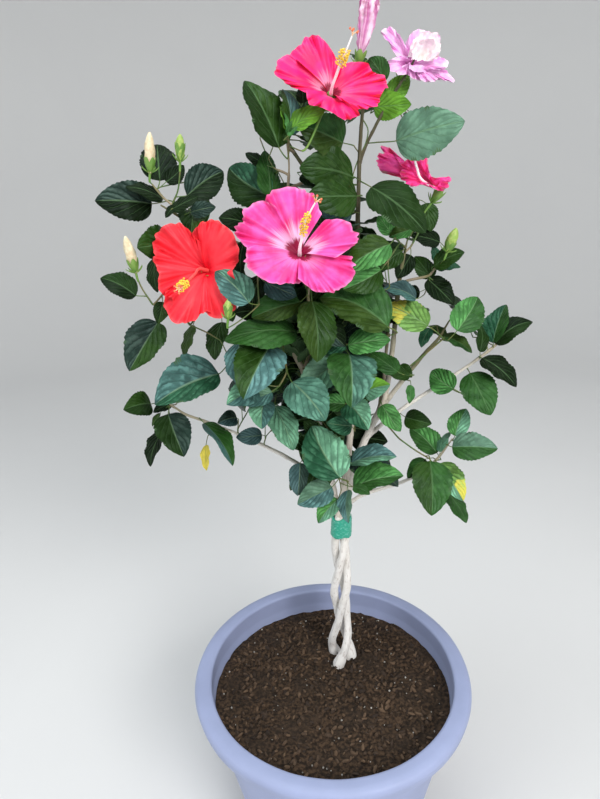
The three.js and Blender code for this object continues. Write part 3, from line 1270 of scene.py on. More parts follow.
@dataclass(frozen=True)
class BindingTape:
    """Stretchy green tape wound about the three stems under the fork."""

    bottom: float = 0.6485
    height: float = 0.0395
    inner_radius: float = 0.0186
    outer_radius: float = 0.0199
    turns: float = 3.4
    sides: int = 96

    def build(self, trunk: BraidedTrunk) -> None:
        """Builds the wrap: overlapping turns, drawn in between the stems and creased.

        Args:
            trunk: the stems that it binds.
        """
        rows = 44
        t = np.linspace(0, 1, rows)
        angle, circle = ring(self.sides)
        climb = self.turns * t[:, None] - angle / (2 * math.pi)
        edge = climb - np.floor(climb)
        lap = 0.0007 * (1 - smooth(edge, 0.0, 0.12)) + 0.0004 * edge
        first = trunk.path(0)
        at = np.interp(self.bottom + self.height * t, first[:, 2], np.arange(len(first))).astype(int)
        bearing = np.arctan2(first[at, 1] - trunk.axis[1], first[at, 0] - trunk.axis[0])
        hollow = 0.0026 * (1 - np.cos(3 * (angle - bearing[:, None]))) / 2
        places = circle * self.outer_radius + t[:, None, None] * self.height * UP
        creases = 0.00035 * lumps(places * [1, 1, 2.6], 0.009, 41) + 0.0002 * lumps(places, 0.004, 42)
        ends = 0.0006 * (np.exp(-t / 0.03) + np.exp(-(1 - t) / 0.03))[:, None]
        outer = self.outer_radius - 0.0003 - hollow + lap * 0.6 + creases - ends
        inner = np.full((2, self.sides), self.inner_radius - 0.004)
        radii = np.vstack([inner[:1], outer, inner[1:], inner[:1]])
        ripple = 0.0012 * lumps(circle * 0.02, 0.02, 43)
        heights = self.bottom + self.height * np.concatenate([[0], t, [1, 0]])[:, None]
        heights = heights + np.vstack([[ripple], np.repeat([ripple], rows + 2, 0)])
        centre = np.array([*trunk.axis, 0.0])
        piece = Joined("tape_wrap", "binding_tape")
        piece.rings(centre + circle * radii[..., None] + heights[..., None] * UP)
        piece.build([TapeFinish().material()], "binding_band")


# Boughs


class Bark(Enum):
    """The barks of the limbs, from old wood to green."""

    WHITE = BarkFinish("limb_bark_white", (0.84, 0.8, 0.74), (0.42, 0.36, 0.3), (0.62, 0.56, 0.46), 0.7, 1.2)
    PALE = BarkFinish("limb_bark_pale", (0.84, 0.80, 0.74), (0.36, 0.30, 0.24), (0.42, 0.37, 0.25), 0.62)
    FAIR = BarkFinish("limb_bark_fair", (0.70, 0.64, 0.54), (0.24, 0.19, 0.13), (0.14, 0.14, 0.06), 0.15, 0.7)
    SLIM = BarkFinish("limb_bark_slim", (0.66, 0.6, 0.52), (0.2, 0.16, 0.11), (0.085, 0.078, 0.038), 0.2, 0.6)
    YOUNG = BarkFinish("limb_bark", (0.42, 0.36, 0.27), (0.18, 0.14, 0.09), (0.13, 0.13, 0.055), 0.15)
    GREEN = BarkFinish("limb_bark_green", (0.08, 0.07, 0.035), (0.045, 0.035, 0.02), (0.07, 0.08, 0.03), 0.1)


@dataclass(frozen=True)
class Limb:
    """One bough: what it grows from and how far along, where it ends, its arch, its radii and its bark.

    The source is a limb's name or a stem's number. Lengths are in millimetres, and the lead is how
    far its bare end runs on.
    """

    name: str
    source: str | int
    along: float
    end: tuple[float, float, float]
    rise: float
    foot: float
    tip: float
    bark: Bark = Bark.YOUNG
    lead: float = 45.0


LIMBS = (
    Limb("limb_right", 0, 1, (98, 80, 902), 70, 7.2, 5.6, Bark.WHITE, 13.5),
    Limb("limb_leader", 2, 1, (56, 64, 1352), 260, 7.2, 2.4, Bark.SLIM),
    Limb("limb_left", 1, 1, (-46, 30, 1000), 120, 7.0, 4.4, Bark.PALE),
    Limb("limb_right_upper", "limb_right", 0.97, (120, 80, 1130), 60, 4.8, 3.2, Bark.FAIR),
    Limb("limb_right_outer", "limb_right", 0.97, (176, 70, 1010), 14, 4.2, 2.8, Bark.FAIR),
    Limb("limb_right_long", "limb_right", 0.66, (280, 96, 992), -12, 3.6, 2.4, Bark.PALE, 13.5),
    Limb("limb_right_low", "limb_right", 0.04, (186, 48, 812), -70, 3.6, 2.4, Bark.PALE),
    Limb("limb_left_low", "limb_left", 0.14, (-222, 28, 912), 34, 3.8, 2.2, Bark.PALE),
    Limb("limb_left_long", "limb_leader", 0.56, (-190, 0, 1216), 12, 4.0, 2.6),
    Limb("limb_upper_left", "limb_leader", 0.72, (-52, 50, 1318), -16, 3.6, 2.6, Bark.GREEN),
    Limb("limb_top_right", "limb_leader", 0.90, (118, 80, 1400), 14, 2.4, 1.7, Bark.GREEN),
    Limb("limb_front_low", "limb_left", 0.24, (12, -6, 842), 18, 3.6, 2.8, lead=13.5),
    Limb("limb_back_low", "limb_left", 0.34, (6, 176, 880), 16, 4.0, 2.8),
    Limb("limb_back_high", "limb_leader", 0.50, (4, 186, 1130), 26, 4.0, 2.8),
    Limb("limb_back_right", "limb_right", 0.90, (118, 176, 1030), 30, 3.6, 2.6),
)


class Boughs:
    """The limbs that grow from the tops of the stems and from each other, and the leads they end in."""

    def __init__(self, trunk: BraidedTrunk) -> None:
        """Works out each limb's centre line from its source.

        Args:
            trunk: the stems that carry them.
        """
        self.paths: dict[str, Array] = {}
        self.leads: dict[str, Array] = {}
        draw = np.random.default_rng(19)
        for limb in LIMBS:
            rooted = isinstance(limb.source, int)
            source = trunk.path(limb.source) if rooted else self.paths[limb.source]
            at = round(limb.along * (len(source) - 1))
            heading = tangents(source)[at]
            foot = source[at]
            end = np.array(limb.end) * MM
            if not rooted:
                heading = unit(heading * 0.4 + unit(end - foot) * 0.6)
            first = foot + heading * 0.3 * math.dist(foot, end)
            second = foot + (end - foot) * 0.68 + UP * limb.rise * MM / 2
            path = bezier(np.array([foot, first, second, end]), 241)
            onward = tangents(path)[-1]
            heading = unit(onward + UP * 0.3 + draw.normal(size=3) * 0.12)
            reach = limb.lead * MM
            self.paths[limb.name] = path
            self.leads[limb.name] = hermite(end, onward * reach, end + heading * reach, heading * reach, 12)

    def radii(self, limb: Limb, path: Array, sides: int) -> Array:
        """Radii of a limb: its taper, a collar at its foot, swollen nodes and low ribs.

        Args:
            limb: the limb.
            path: its centre line.
            sides: places around it.

        Returns:
            The radii, (k, sides).
        """
        length = np.linalg.norm(np.diff(path, axis=0), axis=1).sum()
        along = np.linspace(0, length, len(path))
        plain = (limb.foot + (limb.tip - limb.foot) * along / length) * MM
        collar = 0.0012 * np.exp(-along / 0.007) * (not isinstance(limb.source, int))
        draw = np.random.default_rng([13, LIMBS.index(limb)])
        angle, circle = ring(sides)
        around = path[:, None] + circle * 0.01
        relief = lumps(around, 0.028, 50) * 0.00030 + lumps(around * [1, 1, 0.3], 0.008, 51) * 0.00012
        for node in np.arange(0.02, length - 0.01, 0.024) + draw.uniform(-0.005, 0.005):
            bulge = np.exp(-(((along - node)[:, None] / 0.0028) ** 2))
            swing = np.exp(-(1 - np.cos(angle - draw.uniform(0, 2 * math.pi))) / 0.5)
            relief = relief + bulge * (draw.uniform(0.35, 0.8) * MM * swing + 0.00012)
        return np.maximum((plain + collar)[:, None] + relief * (plain / 0.006)[:, None] ** 0.5, 0.0009)

    def build(self) -> None:
        """Builds each limb in place of its node."""
        barks = {bark: bark.value.material() for bark in Bark}
        for limb in LIMBS:
            path, lead = self.paths[limb.name], self.leads[limb.name]
            radii = self.radii(limb, path, 16)
            ends = np.linspace(1, 1.1 * MM / radii[-1].mean(), len(lead))[1:, None] * radii[-1]
            piece = Joined(limb.name.replace("limb", "bough"), "limb_bark")
            piece.tube(np.vstack([path, lead[1:]]), np.vstack([radii, ends]), 16)
            piece.build([barks[limb.bark]], limb.name)


# Wood that grows to every leaf and bloom


class Growth:
    """Twigs that spread from the limbs, the nearest foot first, until each leaf and bloom is reached."""

    step = 0.006
    turn_cost = 0.7

    def __init__(self, boughs: Boughs) -> None:
        """Takes the limbs as the first wood.

        Args:
            boughs: the limbs.
        """
        self.places, self.forward = np.zeros((2, 0, 3))
        self.parent = np.zeros(0, int)
        self.links: list[Array] = []
        self.burden: dict[int, float] = defaultdict(float)
        for limb in LIMBS:
            path = np.vstack([boughs.paths[limb.name][::5], boughs.leads[limb.name][2::2]])
            self.extend(path[8:], -1)

    def extend(self, path: Array, parent: int) -> int:
        """Adds wood along a path, each place the parent of the next.

        Args:
            path: the places.
            parent: number of the wood that it starts from, or -1 for a limb, which is built elsewhere.

        Returns:
            The number of the last place.
        """
        twig = parent >= 0
        numbers = np.arange(len(self.places), len(self.places) + len(path))
        started = np.vstack([self.places[parent], path]) if twig else path
        self.places = np.vstack([self.places, path])
        self.forward = np.vstack([self.forward, tangents(started)[-len(path) :]])
        self.parent = np.concatenate([self.parent, [parent], numbers[:-1]])
        if twig:
            self.links.append(np.concatenate([[parent], numbers]))
        return int(numbers[-1])

    def nearest(self, place: Array) -> Array:
        """From a place to the nearest wood."""
        gaps = self.places - place
        return gaps[np.argmin(np.linalg.norm(gaps, axis=1))]

    def costs(self, feet: Array, first: int) -> Array:
        """How far each foot is from each place of the wood, dearer for sharp turns.

        Args:
            feet: the places to reach, (n, 3).
            first: number of the first wood that counts.

        Returns:
            The costs, (n, wood).
        """
        gaps = feet[:, None] - self.places[None, first:]
        far = np.linalg.norm(gaps, axis=-1)
        ahead = (gaps * self.forward[None, first:]).sum(-1) / np.maximum(far, 1e-9)
        return far * (1 + self.turn_cost * (1 - ahead)) + 0.002

    def reach(self, feet: Array) -> Array:
        """Grows twigs to feet, the cheapest first, from the wood that is cheapest for each.

        Args:
            feet: the places to reach, (n, 3).

        Returns:
            The number of the wood at each.
        """
        table = self.costs(feet, 0)
        best, source = table.min(1), table.argmin(1)
        number = np.zeros(len(feet), int)
        for _ in feet:
            pick = int(best.argmin())
            first = len(self.places)
            number[pick] = self.link(feet[pick], int(source[pick]))
            best[pick] = np.inf
            fresh = self.costs(feet, first)
            better = (fresh.min(1) < best) & np.isfinite(best)
            source[better] = first + fresh.argmin(1)[better]
            best[better] = fresh.min(1)[better]
        return number

    def link(self, foot: Array, source: int) -> int:
        """Grows one twig.

        Args:
            foot: where it ends.
            source: number of the wood that it starts from.

        Returns:
            The number of its end.
        """
        start = self.places[source]
        span = math.dist(start, foot)
        straight = (foot - start) / max(span, 1e-9)
        leave = unit(self.forward[source] * 0.4 + straight * 0.9) * span * 0.8
        arrive = unit(straight + UP * 0.25) * span * 0.7
        count = max(3, math.ceil(span / self.step) + 1)
        return self.extend(hermite(start, leave, foot, arrive, count)[1:], source)

    def lade(self, number: int, load: float = 1.0) -> None:
        """Hangs a load, in leaves, on a place of the wood."""
        self.burden[int(number)] += load

    def build(self) -> None:
        """Builds the twigs, thicker the more they carry, each as far as its last leaf or bloom."""
        loads = np.zeros(len(self.places))
        loads[list(self.burden)] = list(self.burden.values())
        for number in range(len(loads) - 1, -1, -1):
            if self.parent[number] >= 0:
                loads[self.parent[number]] += loads[number]
        piece = Joined("twigs", "limb_bark")
        for whole in self.links:
            link = whole[loads[whole] > 0]
            if len(link) > 1:
                radii = np.clip(0.00085 * loads[link] ** 0.42, 0.0009, 0.0029)
                radii[0] = radii[1]
                piece.tube(self.places[link], radii, 7, 0 if loads[link[1]] > 5 else 1)
        bark = BarkFinish("twig_bark", (0.34, 0.28, 0.19), (0.15, 0.11, 0.07), (0.22, 0.20, 0.09))
        shoot = StalkFinish("green_shoot", (0.075, 0.145, 0.03), (0.17, 0.15, 0.055))
        piece.build([bark.material(), shoot.material()])


# Leaves


@dataclass(frozen=True)
class Leaf:
    """A leaf in the photograph: where its blade starts and ends, how wide it shows, and its colours.

    The second colour is that of the half on the right, seen from its foot. Nearer, in metres, brings
    a leaf forward from its place in the mass. Lean is the share by which its left half is the wider.
    """

    base: Pixel
    tip: Pixel
    width: float
    tint: Tint
    # The two colours mostly paint the light and shade that the fold at the midrib gives the two halves.
    second: Tint | None = None
    nearer: float = 0.0
    lean: float = 0.0


@dataclass
class Blade:
    """One leaf blade in space."""

    base: Array
    axis: Array
    normal: Array
    length: float
    width: float
    tint: Tint
    second: Tint
    mark: float
    lean: float = 0.0

    def surface(self, rows: int, columns: int, draw: np.random.Generator) -> Array:
        """The upper face: a toothed ovate outline, folded at the midrib, waved and arched.

        At s along and c = −1..1 across, the half width is w s^0.46 (1 − s)^0.74 over its peak, with a
        tooth in every three rows, and the height is arch 4s(1 − s) + fold |c| − droop s³ + waves.

        Args:
            rows: places along the blade.
            columns: places across it.
            draw: random numbers for its arch, fold and waves.

        Returns:
            The places, (rows, columns, 3).
        """
        s = np.linspace(0, 1, rows)[:, None]
        c = np.linspace(-1, 1, columns)[None]
        outline = s**0.46 * (1 - s) ** 0.74
        half = self.width / 2 * outline / outline.max()
        saw = np.arange(rows)[:, None] % 3 / 2
        jagged = draw.uniform(0.03, 0.085, (rows, 1))
        half = half * (1 + jagged * (saw - 0.5) * smooth(s, 0.15, 0.3) * smooth(s, 1.0, 0.9))
        half = np.maximum(half, 0.0004) * (1 - self.lean * np.sign(c))
        arch, droop = draw.uniform(0.02, 0.10), draw.uniform(0.02, 0.14)
        fold = draw.uniform(0.02, 0.26) + 0.18 * (self.second != self.tint)
        waves, phase = draw.uniform(1.3, 2.8, 2), draw.uniform(0, 2 * math.pi, 2)
        ripples = np.where(c > 0, waves[0], waves[1]) * 2 * math.pi * s + np.where(c > 0, phase[0], phase[1])
        wavy = np.sin(ripples) * abs(c) ** 1.5
        height = self.length * (arch * 4 * s * (1 - s) - droop * s**3 + 0.030 * wavy * np.sin(math.pi * s))
        height = height + half * (fold * abs(c) - 0.12 * c**2)
        sway = self.length * draw.uniform(-0.05, 0.05) * 4 * s * (1 - s)
        side = np.cross(self.axis, self.normal)
        along = (s * self.length * np.ones_like(c))[..., None] * self.axis
        return self.base + along + (half * c + sway)[..., None] * side + height[..., None] * self.normal


@dataclass(frozen=True)
class LeafPlacer:
    """Turns a leaf's place in the photograph into a blade in space.

    A leaf is about 0.7 as wide as long. One that shows narrower has rolled about its midrib, and one
    that shows wider leans towards the eye or away from it. Among the two ways that each allows, its
    upper face turns towards the sky.
    """

    ratio: float = 0.70
    most_roll: float = math.radians(56)
    lean: float = math.radians(16)
    thinness: float = 0.00035

    def blade(self, leaf: Leaf, depth: float, draw: np.random.Generator) -> Blade:
        """Places a leaf's blade.

        Args:
            leaf: the leaf.
            depth: the y of its base.
            draw: random numbers for its mark.

        Returns:
            The blade.
        """
        base = VIEW.at_depth(np.array(leaf.base), depth)
        scale = VIEW.scale(base)
        ray = unit(VIEW.rays(np.array(leaf.tip)))
        eye = np.array(VIEW.eye)
        flat = eye + ray * math.dist(base, eye)
        shown = math.dist(base, flat)
        width = leaf.width * scale
        towards = VIEW.towards(base)
        rising = unit(flat - base)[2]
        away = -1 if rising > 0.45 else 1
        length = max(width / self.ratio, shown / math.cos(self.lean * (0.4 + 0.6 * abs(rising))))
        nearer = min(math.sqrt(max(length**2 - shown**2, 0.0)), 0.85 * length)
        tip = flat + towards * nearer * away
        axis = unit(tip - base)
        length = math.dist(tip, base)
        facing = unit(towards - axis * (towards @ axis))
        share = min(1.0, width / (self.ratio * length))
        roll = min(math.acos(share), self.most_roll)
        sideways = np.cross(axis, facing)
        normal = math.cos(roll) * facing + math.copysign(math.sin(roll), sideways[2]) * sideways
        size = (length, width / math.cos(roll))
        second = leaf.second or leaf.tint
        return Blade(base, axis, normal, *size, leaf.tint, second, draw.uniform(), leaf.lean)


@dataclass(frozen=True)
class Mass:
    """The leaves that the photograph shows in one mass, from its back to its front.

    The depth is the y of its middle leaf, and sprays says how many shoots of hidden leaves fill it.
    """

    depth: float
    sprays: int
    leaves: tuple[Leaf, ...] = ()


MASSES = {
    "left_tip": Mass(0.0, 3, (
        Leaf((152, 204), (98, 200), 38, T.SHADE, T.BLUE), Leaf((163, 199), (126, 186), 14, T.SHADE),
        Leaf((160, 181), (157, 141), 37, T.SHADE), Leaf((166, 182), (184, 165), 17, T.SHADE),
        Leaf((192, 211), (191, 232), 28, T.OLIVE, T.DUSK, nearer=-0.02),
        Leaf((187, 196), (225, 170), 35, T.BLUE, T.SHADE), Leaf((191, 212), (215, 206), 16, T.BLUE),
        Leaf((175, 205), (165, 217), 8, T.SHADE), Leaf((172, 209), (197, 195), 13, T.SHADE),
    )),
    "left_bloom": Mass(-0.015, 5, (
        Leaf((262, 312), (236, 313), 22, T.SHADE), Leaf((245, 240), (240, 275), 16, T.SHADE),
        Leaf((262, 275), (250, 310), 22, T.SHADE), Leaf((250, 225), (220, 218), 24, T.SHADE),
        Leaf((172, 240), (143, 246), 36, T.DEEP, nearer=-0.045),
        Leaf((156, 257), (154, 291), 14, T.DUSK, nearer=-0.03),
        Leaf((163, 302), (158, 323), 16, T.OLIVE, T.DUSK),
        Leaf((136, 296), (100, 277), 24, T.SHADE, T.DUSK), Leaf((265, 282), (296, 296), 24, T.STEEL),
        Leaf((249, 303), (215, 269), 31, T.SLATE, T.SEA, 0.044),
    )),
    "upper_left": Mass(0.018, 4, (
        Leaf((265, 165), (246, 151), 12, T.SHADE), Leaf((270, 196), (226, 166), 43, T.DUSK, T.TEAL),
        Leaf((270, 196), (266, 149), 23, T.MID), Leaf((352, 212), (320, 212), 24, T.STEEL),
        Leaf((357, 196), (313, 196), 40, T.DEEP), Leaf((353, 177), (307, 168), 43, T.DEEP, nearer=-0.02),
        Leaf((300, 176), (318, 186), 12, T.SHADE),
        Leaf((343, 143), (300, 124), 39, T.OLIVE, T.MID, nearer=-0.035),
        Leaf((303, 103), (301, 86), 14, T.SHADE), Leaf((290, 135), (286, 87), 21, T.DEEP, T.MIST),
        Leaf((292, 128), (325, 106), 20, T.FRESH), Leaf((279, 148), (247, 75), 36, T.DUSK, T.DEEP),
        Leaf((288, 135), (281, 105), 5, T.FRESH), Leaf((288, 135), (285, 112), 5, T.BRIGHT),
        Leaf((288, 135), (292, 120), 5, T.MID), Leaf((288, 136), (297, 125), 5, T.BRIGHT),
    )),
    "top": Mass(0.03, 2, (
        Leaf((385, 82), (368, 56), 22, T.DEEP, T.MID),
    )),
    "top_right": Mass(0.08, 2, (
        Leaf((388, 97), (410, 76), 21, T.FRESH), Leaf((374, 107), (409, 104), 27, T.FRESH),
        Leaf((396, 141), (461, 121), 47, T.PALE, nearer=0.045, lean=-0.08),
    )),
    "right_upper": Mass(0.072, 5, (
        Leaf((420, 292), (403, 293), 14, T.SHADE), Leaf((426, 203), (431, 230), 20, T.DEEP),
        Leaf((392, 234), (378, 215), 16, T.BRIGHT), Leaf((412, 229), (389, 236), 15, T.BRIGHT, T.OLIVE),
        Leaf((440, 242), (412, 235), 17, T.SHADE), Leaf((436, 262), (433, 245), 10, T.TEAL),
        Leaf((411, 255), (397, 278), 19, T.SHADE), Leaf((432, 278), (415, 255), 19, T.DEEP),
        Leaf((428, 279), (454, 303), 22, T.SHADE), Leaf((438, 269), (460, 265), 9, T.TEAL),
        Leaf((434, 266), (464, 252), 19, T.DEEP), Leaf((416, 299), (385, 286), 16, T.SLATE, T.STEEL),
        Leaf((402, 251), (380, 269), 20, T.DEEP), Leaf((384, 290), (344, 294), 24, T.MID, nearer=0.05),
        Leaf((381, 270), (345, 288), 30, T.DEEP, T.BRIGHT, 0.05),
        Leaf((390, 244), (346, 267), 32, T.BRIGHT, T.OLIVE, 0.05), Leaf((371, 187), (426, 229), 38, T.DUSK),
    )),
    "right_middle": Mass(0.058, 3, (
        Leaf((430, 328), (420, 346), 12, T.TEAL), Leaf((445, 338), (430, 324), 10, T.DUSK, T.OLIVE),
        Leaf((442, 336), (472, 352), 12, T.OLIVE, T.MID), Leaf((480, 352), (482, 322), 12, T.DUSK),
        Leaf((400, 365), (412, 377), 12, T.DEEP), Leaf((411, 385), (411, 403), 9, T.BRIGHT),
        Leaf((454, 389), (430, 370), 27, T.BRIGHT), Leaf((428, 326), (386, 303), 30, T.TURNING),
        Leaf((457, 331), (479, 295), 33, T.BRIGHT, T.MID),
    )),
    "right_far": Mass(0.086, 2, (
        Leaf((495, 344), (532, 318), 24, T.SHADE, T.DUSK), Leaf((493, 343), (505, 303), 23, T.TEAL, T.MID),
        Leaf((482, 358), (517, 385), 20, T.SHADE), Leaf((470, 373), (490, 413), 34, T.MID),
    )),
    "centre": Mass(-0.045, 6, (
        Leaf((300, 302), (252, 316), 31, T.OLIVE, T.MID), Leaf((388, 327), (319, 291), 47, T.OLIVE, T.MID),
        Leaf((312, 301), (318, 360), 38, T.DEEP, T.OLIVE), Leaf((297, 332), (225, 337), 31, T.MID),
    )),
    "centre_low": Mass(-0.034, 9, (
        Leaf((345, 404), (318, 403), 18, T.MID, T.BRIGHT), Leaf((352, 426), (328, 423), 20, T.TEAL),
        Leaf((398, 372), (370, 352), 20, T.MID, nearer=-0.03),
        Leaf((410, 376), (388, 372), 12, T.DEEP, nearer=-0.04),
        Leaf((318, 320), (343, 343), 30, T.SHADE, T.BLUE), Leaf((342, 352), (314, 358), 16, T.MINT, T.SEA),
        Leaf((346, 345), (318, 351), 17, T.TEAL, T.MID), Leaf((336, 362), (301, 387), 33, T.MINT, T.PALE),
        Leaf((348, 345), (390, 339), 25, T.BRIGHT), Leaf((349, 354), (352, 401), 48, T.SEA, T.MID),
        Leaf((240, 342), (240, 385), 22, T.MINT, T.MIST), Leaf((270, 346), (246, 392), 48, T.MIST, T.DEEP),
        Leaf((264, 402), (262, 427), 26, T.SLATE, T.MINT),
        Leaf((272, 392), (244, 404), 20, T.SLATE, T.PALE),
        Leaf((256, 388), (230, 402), 27, T.SLATE, T.MINT), Leaf((292, 382), (323, 417), 41, T.SEA),
    )),
    "left_inner": Mass(0.024, 3, (
        Leaf((262, 435), (237, 437), 18, T.STEEL), Leaf((275, 406), (295, 448), 28, T.MINT, nearer=0.02),
    )),
    "lower": Mass(-0.016, 8, (
        Leaf((352, 438), (386, 441), 26, T.SHADE, nearer=-0.11),
        Leaf((342, 427), (374, 432), 20, T.SHADE, nearer=-0.11),
        Leaf((348, 404), (367, 428), 28, T.MINT, T.TEAL), Leaf((351, 463), (396, 456), 20, T.MIST, T.MINT),
        Leaf((353, 487), (402, 474), 27, T.BRIGHT, T.MID, 0.014, lean=0.25),
        Leaf((365, 392), (388, 385), 23, T.FRESH, T.MINT),
        Leaf((300, 463), (297, 495), 20, T.BLUE, T.STEEL), Leaf((332, 487), (298, 504), 27, T.MIST, T.PALE),
        Leaf((338, 499), (318, 522), 20, T.MINT, T.BRIGHT),
        Leaf((348, 490), (346, 522), 14, T.PALE, T.MIST), Leaf((353, 487), (370, 494), 11, T.MID),
        Leaf((340, 478), (310, 423), 46, T.TEAL, T.MINT, 0.006),
    )),
    "right_low": Mass(0.048, 3, (
        Leaf((405, 417), (430, 423), 20, T.DUSK, T.DEEP), Leaf((425, 459), (407, 477), 15, T.DUSK, T.MID),
        Leaf((437, 453), (410, 426), 25, T.MID, T.BRIGHT), Leaf((382, 405), (401, 430), 20, T.BRIGHT),
        Leaf((440, 452), (448, 430), 10, T.MINT), Leaf((455, 436), (466, 407), 22, T.BRIGHT, T.MINT),
        Leaf((448, 493), (467, 522), 15, T.MID), Leaf((438, 464), (464, 499), 26, T.TURNING, T.MINT),
        Leaf((430, 461), (432, 513), 39, T.MID, T.DEEP), Leaf((452, 447), (497, 447), 28, T.PALE, T.MID),
    )),
    "left_low": Mass(0.034, 1, (
        Leaf((222, 322), (214, 359), 20, T.DEEP), Leaf((193, 325), (182, 357), 10, T.OLIVE),
        Leaf((158, 322), (129, 369), 36, T.DEEP, T.BLUE), Leaf((171, 405), (153, 411), 10, T.SHADE),
        Leaf((151, 404), (126, 409), 25, T.DUSK, T.DEEP), Leaf((160, 413), (152, 426), 5, T.OLIVE),
        Leaf((163, 430), (147, 464), 14, T.SHADE), Leaf((168, 414), (183, 452), 35, T.BLUE, T.DUSK),
        Leaf((237, 418), (220, 422), 17, T.STEEL, T.BLUE), Leaf((206, 445), (205, 470), 9, T.YELLOW),
        Leaf((204, 423), (236, 461), 17, T.MID, T.SLATE),
        Leaf((219, 374), (155, 400), 43, T.TEAL, T.SLATE, lean=-0.2),
    )),
    "back_high": Mass(0.2, 13),
    "back_low": Mass(0.2, 13),
    "back_right": Mass(0.18, 9),
    "back_base": Mass(0.17, 6),
}
LAYER = 0.0055
DENSE = (
    (222, 300), (238, 270), (262, 215), (300, 180), (352, 200), (372, 190), (385, 240), (380, 284),
    (402, 290), (390, 332), (386, 352), (394, 370), (372, 398), (366, 430), (372, 450), (396, 468),
    (350, 492), (346, 520), (322, 520), (302, 504), (292, 478), (304, 462), (304, 432), (296, 446),
    (272, 424), (244, 410), (230, 400), (238, 382), (224, 352),
)


@dataclass(frozen=True)
class Shoot:
    """A bare shoot in the photograph: its depth, and x and y of each pixel that it passes."""

    depth: float
    pixels: tuple[float, ...]


SHOOTS = (
    Shoot(0.0, (205, 235, 190, 222, 172, 205, 163, 197, 152, 184)),
    Shoot(0.0, (172, 205, 178, 190, 180, 172)),
    Shoot(-0.02, (153, 305, 143, 290, 138, 280)),
    Shoot(0.054, (288, 188, 289, 165, 287, 142)),
    Shoot(0.064, (352, 185, 353, 175, 358, 160, 365, 145, 368, 130, 362, 118)),
    Shoot(0.072, (430, 275, 435, 268)),
    Shoot(0.058, (405, 370, 430, 350, 445, 337)),
    Shoot(0.05, (401, 440, 415, 450, 430, 459)),
    Shoot(0.034, (190, 325, 208, 333, 220, 340)),
)


